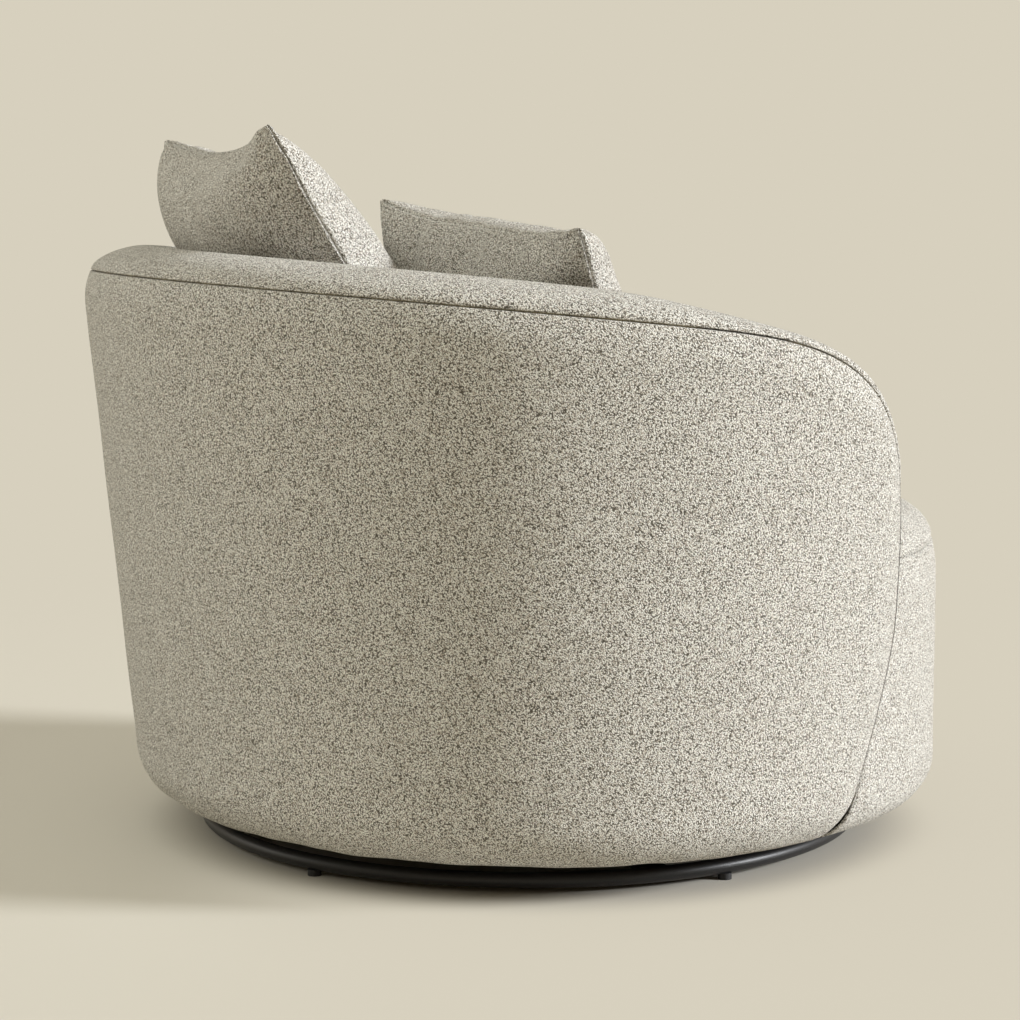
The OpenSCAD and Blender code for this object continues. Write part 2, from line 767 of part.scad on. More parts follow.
module tee_nuts() {
    color(steel_colour)
        corner_places(plate_bolt_place)
            difference() {
                union() {
                    translate([0, 0, board_low + ply_thick / 3])
                        cylinder(h = ply_thick * 2 / 3 + joint_gap, d = tee_nut_wide,
                            $fn = small_smooth);
                    translate([0, 0, board_top + joint_gap])
                        cylinder(h = tee_nut_flange_thick, d = tee_nut_flange,
                            $fn = small_smooth);
                }
                translate([0, 0, board_low])
                    cylinder(h = ply_thick + tee_nut_flange_thick + 2 * overrun,
                        d = hub_bolt + 2 * running_gap, $fn = small_smooth);
            }
}

// Plan of the body: an ellipse at the back and a circle in front
plan_steps = 72;
function plan_loop(half_wide, back, front) =
    [for (i = [0 : plan_steps - 1])
        let(a = 360 * i / plan_steps)
        [-half_wide * sin(a), (cos(a) > 0 ? back : front) * cos(a)]];
board_front = drum_radius - drum_low_round - cover_thick;
board_back = shell_half_depth - low_round;

module bottom_board() {
    color(ply_colour)
        translate([0, 0, board_low])
            difference() {
                linear_extrude(height = ply_thick)
                    polygon(plan_loop(board_front, board_back, board_front));
                translate([0, 0, -overrun])
                    cylinder(h = ply_thick + 2 * overrun, d = pivot_pocket, $fn = smooth);
                corner_places(plate_bolt_place) {
                    translate([0, 0, -overrun])
                        cylinder(h = ply_thick + 2 * overrun, d = hub_bolt + 4 * joint_gap,
                            $fn = small_smooth);
                    translate([0, 0, ply_thick / 3 - joint_gap])
                        cylinder(h = ply_thick, d = tee_nut_wide + 2 * joint_gap,
                            $fn = small_smooth);
                }
            }
}

dust_cover_thick = 1;
dust_edge = tuck_wide + soft_gap * 12;

module dust_cover() {
    color(black_colour)
        translate([0, 0, board_low - soft_gap - dust_cover_thick])
            difference() {
                linear_extrude(height = dust_cover_thick)
                    polygon(plan_loop(board_front - dust_edge, board_back - dust_edge,
                        board_front - dust_edge));
                translate([-upper_plate_side / 2 - overrun, -upper_plate_side / 2 - overrun,
                    -overrun])
                    cube([upper_plate_side + 2 * overrun, upper_plate_side + 2 * overrun,
                        dust_cover_thick + 2 * overrun]);
            }
}

// A piece that stands in the wall at an angle off the back: its own plane has
// the distance from the axis along X and the height along Y
module in_wall(angle, thick) {
    translate([-(shell_half_width - shell_half_depth) * sin(angle), 0, 0])
        rotate([0, 0, angle + 90])
            rotate([90, 0, 0])
                translate([0, 0, -thick / 2])
                    linear_extrude(height = thick)
                        children();
}

rail_low_table = [for (k = wall_stations)
    let(s = shifted(k, -rail_drop - ply_thick - joint_gap)) [pulled(s[0], s[1]), s[1]]];
function rail_underside(angle) =
    let(side = ply_thick / 2 / (half_depth(arm_corner_low) - rib_in) * 180 / PI)
    min(lookup(angle - side, rail_low_table), lookup(angle + side, rail_low_table));

module rib_plate(angle, out_depth, in_depth) {
    top = rail_underside(angle) - joint_gap;
    foot_depth = low_round + joint_gap;
    color(ply_colour)
        in_wall(angle, ply_thick)
            polygon([
                [shell_half_depth - foot_depth, board_top + joint_gap],
                [shell_half_depth - out_depth, wall_foot],
                [half_depth(top) - out_depth, top],
                [half_depth(top) - in_depth, top],
                [half_depth(seat_frame_top) - in_depth, seat_frame_top],
                [shell_half_depth - in_depth, board_top + joint_gap]
            ]);
}

rib_middle = 5;
module rib(i) {
    rib_plate(rib_step_angle * (i - rib_middle), cavity_out + facet_sag, rib_in);
}

// The arm posts stop where the shell's front edge is clear of them
module arm_post(side) {
    rib_plate(side * post_angle, post_inset, rib_in);
}

rail_depths = [cavity_out + facet_sag, rib_in - facet_sag];

module top_rail() {
    color(ply_colour)
        slab(
            [for (k = all_stations) [for (d = rail_depths) rail_point(k, d, -rail_drop)]],
            [for (k = all_stations) [for (d = rail_depths)
                rail_point(k, d, -rail_drop - ply_thick)]]
        );
}

// The seat frame reaches the ribs at the back and the drum's board in front
frame_back_depth = rib_in + joint_gap;
frame_front = drum_radius - cover_thick - outer_foam_thick - board_thick - 4 * soft_gap;
frame_end_angle = post_angle - rib_step_angle / 4;
// Angle by which the front's boards stop short of the arms
board_margin_angle = 1;
function flat(p) = [p[0], p[1]];

module seat_frame_plan() {
    polygon(concat(
        [for (i = [0 : inside_steps])
            flat(wall_point(frame_end_angle * (2 * i / inside_steps - 1), seat_frame_low,
                frame_back_depth))],
        [for (a = [frame_end_angle, inside_end_angle])
            flat(wall_point(a, seat_frame_low, inside_face + 4 * soft_gap))],
        [for (i = [0 : nose_steps])
            flat(nose_point(frame_front,
                mix(nose_start_angle + board_margin_angle,
                    360 - nose_start_angle - board_margin_angle, i / nose_steps), 0))],
        [for (a = [-inside_end_angle, -frame_end_angle])
            flat(wall_point(a, seat_frame_low, inside_face + 4 * soft_gap))]
    ));
}

module seat_frame() {
    color(ply_colour)
        translate([0, 0, seat_frame_low])
            difference() {
                linear_extrude(height = ply_thick)
                    seat_frame_plan();
                translate([-spring_opening_wide / 2, -spring_opening_deep / 2, -overrun])
                    cube([spring_opening_wide, spring_opening_deep,
                        ply_thick + 2 * overrun]);
            }
}

stud_deep = 60;
stud_angles = [132, 156, 180, 204, 228];
stud_out = board_front - joint_gap;

module front_studs() {
    color(ply_colour)
        for (a = stud_angles)
            rotate([0, 0, a])
                difference() {
                    translate([-ply_thick / 2, 0, board_top + joint_gap])
                        cube([ply_thick, frame_front - joint_gap,
                            seat_frame_low - board_top - 2 * joint_gap]);
                    translate([-ply_thick, -overrun, board_top - overrun])
                        cube([2 * ply_thick, stud_out - stud_deep + overrun,
                            seat_frame_low]);
                }
}

module front_arc(inner, outer, low, top, start) {
    translate([0, 0, low])
        rotate([0, 0, 90 + start])
            rotate_extrude(angle = 360 - 2 * start, $fn = smooth * 2)
                translate([inner, 0])
                    square([outer - inner, top - low]);
}

board_face = frame_front + board_thick + joint_gap;

module front_board() {
    color(board_colour)
        front_arc(frame_front + joint_gap, board_face, board_top + drum_low_round / 2,
            seat_frame_top, nose_start_angle + board_margin_angle);
}

// One serpentine spring lies along Y between the frame's front and back
spring_long = spring_opening_deep + 2 * spring_wide;
spring_points = 8 * spring_bends;
spring_pitch = (spring_opening_wide - spring_wide) / spring_count;
function spring_line(i) =
    let(s = i / spring_points)
    [spring_wide / 2 * sin(360 * spring_bends * s / 2), spring_long * (s - 1 / 2)];
function spring_side(i, side) =
    let(
        run = spring_line(min(i + 1, spring_points)) - spring_line(max(i - 1, 0)),
        across = [-run[1], run[0]] / norm(run)
    )
    spring_line(i) + side * across * spring_wire / 2;

function spring_place(i) = spring_pitch * (i - (spring_count - 1) / 2);

module seat_springs() {
    color(steel_colour)
        for (i = [0 : spring_count - 1])
            translate([spring_place(i), 0, seat_frame_top + joint_gap])
                linear_extrude(height = spring_wire - joint_gap)
                    polygon(concat(
                        [for (j = [0 : spring_points]) spring_side(j, 1)],
                        [for (j = [spring_points : -1 : 0]) spring_side(j, -1)]
                    ));
}

clip_long = spring_wide / 2;
clip_wide = spring_wide / 2;

module spring_clips() {
    color(steel_colour)
        for (i = [0 : spring_count - 1], end = [-1, 1])
            translate([spring_place(i) - clip_wide / 2,
                end * (spring_long + clip_long + spring_wire) / 2 - clip_long / 2,
                seat_frame_top + joint_gap])
                cube([clip_wide, clip_long, spring_wire - joint_gap]);
}

module deck_cloth() {
    color("#d8d4c8")
        translate([-spring_opening_wide / 2, -spring_long / 2,
            seat_frame_top + spring_wire + soft_gap / 4])
            cube([spring_opening_wide, spring_long, soft_gap * 1.5]);
}

/* Padding and covers */

module seat_foam() {
    top_drop = cover_thick + wadding_thick + 2 * soft_gap;
    loops = concat([seat_outline(seat_foam_low, wadding_thick + cover_thick)], crown_loops(top_drop));
    color(foam_colour)
        pad(loops, [0, 0, seat_foam_low], [0, 0, crown_top - top_drop]);
}

module seat_wadding() {
    top_drop = cover_thick + soft_gap;
    low_drop = top_drop + wadding_thick;
    color("#efeee8")
        pad(concat(reversed(crown_loops(low_drop)), crown_loops(top_drop)),
            [0, 0, crown_top - low_drop], [0, 0, crown_top - top_drop]);
}

module seat_top_cover() {
    color(fabric_colour)
        pad(concat(reversed(crown_loops(cover_thick)), [for (z = [cover_thick, 0]) crown_loop(0, 0, z)],
            crown_loops(0)), [0, 0, crown_top - cover_thick], [0, 0, crown_top]);
}

// Rows of the drum's cover, as [height, radius], from the seam to the tuck
drum_round_high = seat_seam_height - cover_thick - drum_face_top;
drum_shares = [1, 0.75, 0.45, 0];
function drum_rows(depth) =
    concat(
        [for (s = drum_shares)
            [drum_face_top + drum_round_high * s - seam_gap,
                drum_radius - depth - seat_seam_inset * pow(s, drum_power_share)]],
        [[mix(drum_face_top, body_low + drum_low_round, 1 / 2), drum_radius - depth]],
        [for (a = [0, 30, 60, 90])
            [body_low + drum_low_round - (drum_low_round - depth) * sin(a),
                drum_radius - drum_low_round + (drum_low_round - depth) * cos(a)]],
        [[body_low + depth, drum_radius - drum_low_round - tuck_wide]]
    );
drum_columns = nose_steps * 2;
function drum_sheet(rows) =
    [for (i = [0 : drum_columns]) [for (r = rows)
        let(start = nose_start_angle - pull_at(r[0]))
        nose_point(r[1], mix(start, 360 - start, i / drum_columns), r[0])]];

module seat_border_cover() {
    color(fabric_colour)
        slab(drum_sheet(drum_rows(0)), drum_sheet(drum_rows(cover_thick)));
}

module front_foam() {
    foam_face = drum_radius - cover_thick - soft_gap;
    foam_top = drum_face_top - soft_gap;
    foam_low = body_low + drum_low_round;
    rows = [foam_top, mix(foam_top, foam_low, 1 / 2), foam_low];
    // The facets' middles, not their corners, touch the round board
    facet = (180 - nose_start_angle + pull_at(foam_low)) / drum_columns + pull_at(foam_low) / len(rows);
    foam_back = (board_face + soft_gap) / cos(facet);
    color(foam_colour)
        slab(drum_sheet([for (z = rows) [z, foam_face]]), drum_sheet([for (z = rows) [z, foam_back]]));
}

// A flat sheet bent round in the wall, from below the rim down to a height
function bent_sheet(drop, low, depth, shares) =
    [for (k = wall_stations)
        wall_column(k, drop,
            [for (s = shares) [mix(shifted(k, -drop)[1], low, s), depth]], 0)];

layer_drop = rail_drop + layer_gap;

module outer_board() {
    shares = concat([0], wall_shares);
    color(board_colour)
        slab(bent_sheet(layer_drop, wall_foot, outer_board_out, shares),
            bent_sheet(layer_drop, wall_foot, outer_board_in, shares));
}

module outer_foam() {
    color(foam_colour)
        slab(wall_sheet(layer_drop, wall_foot, outer_foam_out, foam_roll_share),
            wall_sheet(layer_drop, wall_foot, outer_foam_in, 0));
}

function cover_column(k, depth) =
    wall_column(k, edge_gap, concat(
        wall_rows(shifted(k, -edge_gap)[1], wall_foot, depth), turned_under_rows(depth)),
        cover_roll_share);

module outer_cover() {
    color(fabric_colour)
        slab([for (k = wall_stations) cover_column(k, 0)],
            [for (k = wall_stations) cover_column(k, cover_thick)]);
}

inner_shares = [0, 0.5, 1];
function inner_sheet(drop, depth) = bent_sheet(drop, wall_pad_low, depth, inner_shares);

module inner_board() {
    color(board_colour)
        slab(inner_sheet(layer_drop, inner_board_out), inner_sheet(layer_drop, inner_board_in));
}

module inner_foam() {
    color(foam_colour)
        slab(inner_sheet(layer_drop, inner_foam_out), inner_sheet(layer_drop, inner_foam_in));
}

module inner_cover() {
    color(fabric_colour)
        slab(inner_sheet(edge_gap, inner_cover_out), inner_sheet(edge_gap, wall_thick));
}

module rim_foam() {
    skin = cover_thick + soft_gap;
    color(foam_colour)
        slab(dome_sheet(skin), rim_under_sheet(skin, rail_drop - rail_gap));
}

module rim_band_cover() {
    color(fabric_colour)
        slab(dome_sheet(0), dome_sheet(cover_thick));
}

/* Cushions */

// A knife-edged cushion: crowned faces, sides drawn in between the corners, a
// straight foot and a sagging top edge. Its foot is its origin, its front is +Z.
cushion_steps = 14;
cushion_shares = [for (i = [0 : cushion_steps]) sin(180 * i / cushion_steps - 90)];
waist_share = 0.07;
crown_power_share = 0.38;
back_cushion_depths = [back_cushion_front, back_cushion_rear];
lumbar_depths = [lumbar_front, lumbar_rear];
function cushion_point(wide, high, depths, skin, u, v, side) =
    let(
        half_wide = wide / 2 - skin,
        half_high = high / 2 - skin,
        sag = waist_share * half_high * (1 - u * u) * max(0, v)
    )
    [half_wide * u * (1 - waist_share * (1 - v * v)),
        high / 2 + half_high * v - sag,
        side * (edge_thick / 2 - skin / 3
            + (depths[side > 0 ? 0 : 1] - edge_thick / 2 - skin)
            * pow(max(0, (1 - u * u) * (1 - v * v)), crown_power_share))];
function cushion_sheet(wide, high, depths, skin, side) =
    [for (u = cushion_shares) [for (v = cushion_shares)
        cushion_point(wide, high, depths, skin, u, v, side)]];

module cushion_solid(wide, high, depths, skin) {
    slab(cushion_sheet(wide, high, depths, skin, 1), cushion_sheet(wide, high, depths, skin, -1));
}

module cushion_cover(wide, high, depths) {
    difference() {
        cushion_solid(wide, high, depths, 0);
        cushion_solid(wide, high, depths, cushion_cover_thick);
    }
}

// Places a cushion by its foot, its turn about the upright, its lean and its tilt
module placed(foot, turn, lean, tilt) {
    translate(foot)
        rotate([0, 0, turn])
            rotate([90 - lean, 0, 0])
                rotate([0, 0, tilt])
                    children();
}
function placed_point(p, turn, lean, tilt) =
    let(
        x = p[0] * cos(tilt) - p[1] * sin(tilt),
        high = p[0] * sin(tilt) + p[1] * cos(tilt),
        y = high * sin(lean) - p[2] * cos(lean),
        z = high * cos(lean) + p[2] * sin(lean)
    )
    [x * cos(turn) - y * sin(turn), x * sin(turn) + y * cos(turn), z];

// The zip lies under the cushion's foot seam
zip_wide = 6;
zip_thick = zip_wide / 4;
zip_share = 0.7;

// Height of a foot at which the cushion's lowest points just clear the seat
function foot_height(wide, high, depths, turn, lean, tilt, place) =
    let(points = concat(
        [for (u = cushion_shares, v = cushion_shares, side = [-1, 1])
            cushion_point(wide, high, depths, 0, u, v, side)],
        [for (x = [-1 : 0.25 : 1], side = [-1, 1])
            [x * wide * zip_share / 2, -zip_thick, side * zip_wide / 2]]
    ))
    max([for (p = points)
        let(q = placed_point(p, turn, lean, tilt))
        seat_top([place[0] + q[0], place[1] + q[1]]) - q[2]]) + soft_gap / 2;

back_cushion_place = [0, half_depth(crown_top) - wall_thick - back_cushion_stand];
back_cushion_foot = concat(back_cushion_place,
    [foot_height(back_cushion_wide, back_cushion_high, back_cushion_depths, 0,
        back_lean_angle, back_tilt_angle, back_cushion_place)]);
lumbar_aside = half_width(crown_top) - wall_thick - lumbar_wide / 2 - lumbar_side_gap;
lumbar_place = [-lumbar_aside, back_cushion_place[1] - lumbar_step];
lumbar_foot = concat(lumbar_place,
    [foot_height(lumbar_wide, lumbar_high, lumbar_depths, lumbar_turn_angle, lumbar_lean_angle,
        lumbar_tilt_angle, lumbar_place)]);

module back_cushion() {
    placed(back_cushion_foot, 0, back_lean_angle, back_tilt_angle)
        children();
}

module lumbar_cushion() {
    placed(lumbar_foot, lumbar_turn_angle, lumbar_lean_angle, lumbar_tilt_angle)
        children();
}

cushion_inner = cushion_cover_thick + soft_gap;
module zip(wide) {
    color("#8c8675")
        translate([-wide * zip_share / 2, -zip_thick, -zip_wide / 2])
            cube([wide * zip_share, zip_thick - joint_gap, zip_wide]);
}

module back_cushion_insert() {
    color("#f0efe9")
        back_cushion()
            cushion_solid(back_cushion_wide, back_cushion_high, back_cushion_depths,
                cushion_inner);
}

module back_cushion_cover() {
    color(fabric_colour)
        back_cushion()
            cushion_cover(back_cushion_wide, back_cushion_high, back_cushion_depths);
}

module back_cushion_zip() {
    back_cushion()
        zip(back_cushion_wide);
}

module lumbar_cushion_insert() {
    color("#f0efe9")
        lumbar_cushion()
            cushion_solid(lumbar_wide, lumbar_high, lumbar_depths, cushion_inner);
}

module lumbar_cushion_cover() {
    color(fabric_colour)
        lumbar_cushion()
            cushion_cover(lumbar_wide, lumbar_high, lumbar_depths);
}

module lumbar_cushion_zip() {
    lumbar_cushion()
        zip(lumbar_wide);
}

base_ring();
base_spoke(1);  // base_spoke_1
base_spoke(2);  // base_spoke_2
base_spoke(3);  // base_spoke_3
base_spoke(4);  // base_spoke_4
hub_plate();
hub_bolts();
hub_nuts();
glides();
glide_screws();
lower_swivel_plate();
ball_cage();
bearing_balls();
pivot_bolt();
pivot_washer();
pivot_nut();
upper_swivel_plate();
plate_bolts();
tee_nuts();
bottom_board();
dust_cover();
rib(1);  // rib_1
rib(2);  // rib_2
rib(3);  // rib_3
rib(4);  // rib_4
rib(5);  // rib_5
rib(6);  // rib_6
rib(7);  // rib_7
rib(8);  // rib_8
rib(9);  // rib_9
arm_post(1);  // arm_post_right
arm_post(-1);  // arm_post_left
top_rail();
seat_frame();
front_studs();
front_board();
seat_springs();
spring_clips();
deck_cloth();
seat_foam();
seat_wadding();
seat_top_cover();
seat_border_cover();
front_foam();
outer_board();
outer_foam();
outer_cover();
inner_board();
inner_foam();
inner_cover();
rim_foam();
rim_band_cover();
back_cushion_insert();
back_cushion_cover();
back_cushion_zip();
lumbar_cushion_insert();
lumbar_cushion_cover();
lumbar_cushion_zip();
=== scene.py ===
import math
from collections import namedtuple

import bmesh
import bpy
import numpy as np
from mathutils import Matrix, Vector, noise
from mathutils.bvhtree import BVHTree


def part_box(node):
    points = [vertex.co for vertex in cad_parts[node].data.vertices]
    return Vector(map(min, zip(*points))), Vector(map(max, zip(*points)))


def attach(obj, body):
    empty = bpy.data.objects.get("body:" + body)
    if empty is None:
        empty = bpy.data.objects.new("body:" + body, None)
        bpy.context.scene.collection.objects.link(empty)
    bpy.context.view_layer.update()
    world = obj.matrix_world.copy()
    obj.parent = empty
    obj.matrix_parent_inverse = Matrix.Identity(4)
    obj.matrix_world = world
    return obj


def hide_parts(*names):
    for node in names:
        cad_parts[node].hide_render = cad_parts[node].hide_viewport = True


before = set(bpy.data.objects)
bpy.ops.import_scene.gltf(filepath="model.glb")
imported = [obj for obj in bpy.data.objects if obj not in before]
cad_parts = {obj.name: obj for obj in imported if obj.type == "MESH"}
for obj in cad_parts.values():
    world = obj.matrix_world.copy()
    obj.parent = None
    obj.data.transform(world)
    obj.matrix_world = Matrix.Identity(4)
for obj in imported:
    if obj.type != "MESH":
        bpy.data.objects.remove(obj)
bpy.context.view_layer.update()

MM = 0.001

# Camera, fitted to the circles of the base ring, the drum and the rim
PICTURE = 1020
CAMERA_FOCAL_PX = 2868
CAMERA_AXIS_PX = 19
CAMERA_DISTANCE = 3.76
CAMERA_HEIGHT = 0.867
CAMERA_SWING = math.radians(22)
CAMERA_PITCH = math.radians(6.954)
CAMERA_REACH = 200
SENSOR_MM = 36.0

camera_data = bpy.data.cameras.new("camera")
camera = bpy.data.objects.new("camera", camera_data)
bpy.context.scene.collection.objects.link(camera)
bpy.context.scene.camera = camera
camera_data.sensor_width = SENSOR_MM
camera_data.lens = CAMERA_FOCAL_PX / PICTURE * SENSOR_MM
camera_data.shift_x = -CAMERA_AXIS_PX / PICTURE
camera_data.clip_end = CAMERA_REACH
camera.location = (-CAMERA_DISTANCE * math.cos(CAMERA_SWING),
                   CAMERA_DISTANCE * math.sin(CAMERA_SWING), CAMERA_HEIGHT)
look = Vector((math.cos(CAMERA_PITCH) * math.cos(CAMERA_SWING),
               -math.cos(CAMERA_PITCH) * math.sin(CAMERA_SWING), -math.sin(CAMERA_PITCH)))
camera.rotation_mode = "QUATERNION"
camera.rotation_quaternion = look.to_track_quat("-Z", "Y")
bpy.context.scene.view_settings.view_transform = "Standard"


# Materials

class Wire:
    """A node's output that is added, multiplied and so on like a number."""

    def __init__(self, tree, socket):
        self.tree, self.socket = tree, socket

    def math(self, operation, first, *rest):
        node = self.tree.nodes.new("ShaderNodeMath")
        node.operation = operation
        for place, value in zip(node.inputs, (first, *rest)):
            plug(self.tree, value, place)
        return Wire(self.tree, node.outputs[0])

    def __add__(self, other):
        return self.math("ADD", self, other)

    def __radd__(self, other):
        return self.math("ADD", other, self)

    def __sub__(self, other):
        return self.math("SUBTRACT", self, other)

    def __rsub__(self, other):
        return self.math("SUBTRACT", other, self)

    def __mul__(self, other):
        return self.math("MULTIPLY", self, other)

    def between(self, low, high):
        """0 at low, 1 at high, smooth in between."""
        node = self.tree.nodes.new("ShaderNodeMapRange")
        node.interpolation_type = "SMOOTHSTEP"
        for name, value in (("Value", self), ("From Min", low), ("From Max", high)):
            plug(self.tree, value, node.inputs[name])
        return Wire(self.tree, node.outputs["Result"])


def plug(tree, value, place):
    """Puts a number, a colour or another node's output into a socket."""
    if isinstance(value, Wire):
        tree.links.new(value.socket, place)
    else:
        place.default_value = value


def opaque(value):
    """A colour as a socket takes it; another node's output stays as it is."""
    return (*value, 1.0) if isinstance(value, tuple) else value


class Nodes:
    """A tree of shader nodes while it is built."""

    def __init__(self, tree):
        self.tree = tree

    def node(self, kind, settings, inputs, output=0):
        made = self.tree.nodes.new(kind)
        for name, value in settings.items():
            setattr(made, name, value)
        for name, value in inputs.items():
            plug(self.tree, value, made.inputs[name])
        return Wire(self.tree, made.outputs[output])


class Finish(Nodes):
    """One material while it is made."""

    def __init__(self, name, **constants):
        self.material = bpy.data.materials.new(name)
        self.material.use_nodes = True
        super().__init__(self.material.node_tree)
        self.surface = next(n for n in self.tree.nodes if n.type == "BSDF_PRINCIPLED")
        self.output = next(n for n in self.tree.nodes if n.type == "OUTPUT_MATERIAL")
        for name, value in constants.items():
            self.surface.inputs[name.replace("_", " ")].default_value = value

    def place(self):
        return self.node("ShaderNodeTexCoord", {}, {}, "Object")

    def noise(self, place, scale, detail=2.0, distortion=0.0):
        return self.node("ShaderNodeTexNoise", {}, {"Vector": place, "Scale": scale, "Detail": detail,
                                                    "Distortion": distortion}, "Fac")

    def mix(self, share, a, b):
        node = self.tree.nodes.new("ShaderNodeMix")
        node.data_type = "RGBA"
        plug(self.tree, share, node.inputs["Factor"])
        colours = [s for s in node.inputs if s.type == "RGBA"]
        for place, value in zip(colours, (a, b)):
            plug(self.tree, opaque(value), place)
        return Wire(self.tree, next(s for s in node.outputs if s.type == "RGBA"))

    def colour(self, value):
        plug(self.tree, opaque(value), self.surface.inputs["Base Color"])

    def rough(self, value):
        plug(self.tree, value, self.surface.inputs["Roughness"])

    def bump(self, height, depth, strength=1.0):
        normal = self.node("ShaderNodeBump", {}, {"Height": height, "Distance": depth,
                                                  "Strength": strength}, "Normal")
        plug(self.tree, normal, self.surface.inputs["Normal"])


# Looped yarn: width of a loop, its length against that, and the way the loops lean on the cloth
LOOP = 1.45 * MM
LOOP_LENGTH = 1.3
SLANT = Vector((-0.27, -0.65, -0.71)).to_track_quat("Z", "Y").to_euler()
# How far the loops wander from even rows and how often, in loops
WANDER, WANDER_RATE = 0.9, 0.5
# The yarn's fuzz: how fine against a loop, and its share in the pits' outline and in the relief
FUZZ_RATE, FUZZ_IN_PITS, FUZZ_IN_RELIEF = 2.6, 0.35, 0.3
# Where the painted shade of the pits between the loops begins and is full, from a loop's middle outwards
PIT_START, PIT_FULL = 0.55, 0.92
# The share of darker loops varies over broad patches, so many per metre
DARK_START, DARK_FULL = 0.3, 1.0
PATCH_RATE, PATCH_SHARE = 22.0, 0.15
RELIEF = 0.95 * MM
# Near-black colour of the shade painted along a seam line
SEAM_SHADE_COLOUR = (0.06, 0.055, 0.045)


def boucle(name, light, shade, fleck):
    """Looped yarn: round light loops, painted shade in the pits between them, darker single loops, and a
    painted shade line along a seam where the piece carries one.
    """
    f = Finish(name, Roughness=0.92, Sheen_Weight=0.12, Sheen_Roughness=0.6, Specular_IOR_Level=0.15)
    slanted = f.node("ShaderNodeMapping", {"vector_type": "TEXTURE"},
                     {"Vector": f.place(), "Rotation": SLANT, "Scale": (1.0, 1.0, LOOP_LENGTH)})
    wander = f.node("ShaderNodeTexNoise", {},
                    {"Vector": slanted, "Scale": WANDER_RATE / LOOP, "Detail": 1.0}, "Color")
    shift = f.node("ShaderNodeVectorMath", {"operation": "SCALE"}, {0: wander, "Scale": WANDER * LOOP})
    bent = f.node("ShaderNodeVectorMath", {"operation": "ADD"}, {0: slanted, 1: shift})
    cells = f.node("ShaderNodeTexVoronoi", {}, {"Vector": bent, "Scale": 1 / LOOP}, "Distance")
    cell_colour = f.node("ShaderNodeTexVoronoi", {}, {"Vector": bent, "Scale": 1 / LOOP}, "Color")
    single = f.node("ShaderNodeSeparateColor", {}, {"Color": cell_colour}, "Red")
    fuzz = f.noise(slanted, FUZZ_RATE / LOOP)
    patches = f.noise(f.place(), PATCH_RATE)
    # Painted shade in the pits between the loops, standing in for the shade that falls there
    pit_shade = (cells + fuzz * FUZZ_IN_PITS).between(PIT_START, PIT_FULL)
    dark_loop = (single + (patches - 0.5) * PATCH_SHARE).between(DARK_START, DARK_FULL)
    yarn = f.mix(dark_loop, light, fleck)
    # Painted seam shade: where a piece carries this attribute, the cloth turns near-black along its seam
    painted_seam_shade = f.node("ShaderNodeAttribute", {"attribute_name": "painted_seam_shade"}, {}, "Fac")
    f.colour(f.mix(painted_seam_shade, f.mix(pit_shade, yarn, shade), SEAM_SHADE_COLOUR))
    f.bump(1.0 - cells - fuzz * FUZZ_IN_RELIEF, RELIEF)
    return f.material


def metal(name, colour, worn, roughness, metallic, grain):
    """Metal or hard plastic, worn in a fine grain of so many spots per metre."""
    f = Finish(name, Metallic=metallic)
    wear = f.noise(f.place(), grain, 4.0)
    f.colour(f.mix(wear.between(0.35, 0.8), colour, worn))
    f.rough(roughness + (wear - 0.5) * 0.25)
    f.bump(wear, 0.15 * MM, 0.5)
    return f.material


# A wave texture draws 20 bands where its scale is 1
BANDS = 20


def wood(name, pale, dark, layer):
    """Plywood or board: grain along X with the layers of the edge across Z."""
    f = Finish(name, Specular_IOR_Level=0.3)
    streaks = f.node("ShaderNodeMapping", {}, {"Vector": f.place(), "Scale": (4.0, 60.0, 20.0)})
    grain = f.noise(streaks, 3.0, 5.0, 0.6)
    layers = f.node("ShaderNodeTexWave", {"bands_direction": "Z"},
                    {"Vector": f.place(), "Scale": 1 / layer / BANDS, "Distortion": 0.4}, "Fac")
    f.colour(f.mix(grain * 0.65 + layers * 0.35, pale, dark))
    f.rough(0.6 + grain * 0.2)
    f.bump(grain, 0.3 * MM)
    return f.material


def foam(name, colour, deep, cell):
    """Open pores, each as wide as a cell."""
    f = Finish(name, Roughness=0.95, Specular_IOR_Level=0.1)
    pores = f.node("ShaderNodeTexVoronoi", {}, {"Vector": f.place(), "Scale": 1 / cell}, "Distance")
    f.colour(f.mix(pores.between(0.2, 0.7), colour, deep))
    f.bump(pores, cell)
    return f.material


def woven(name, colour, deep, thread):
    """Plain weave of threads, each so wide."""
    f = Finish(name, Roughness=0.9, Specular_IOR_Level=0.1)
    warp, weft = (f.node("ShaderNodeTexWave", {"bands_direction": way},
                         {"Vector": f.place(), "Scale": 1 / thread / BANDS}, "Fac") for way in "XY")
    f.colour(f.mix(warp * 0.5 + weft * 0.5, deep, colour))
    f.bump(warp + weft, 0.4 * MM)
    return f.material


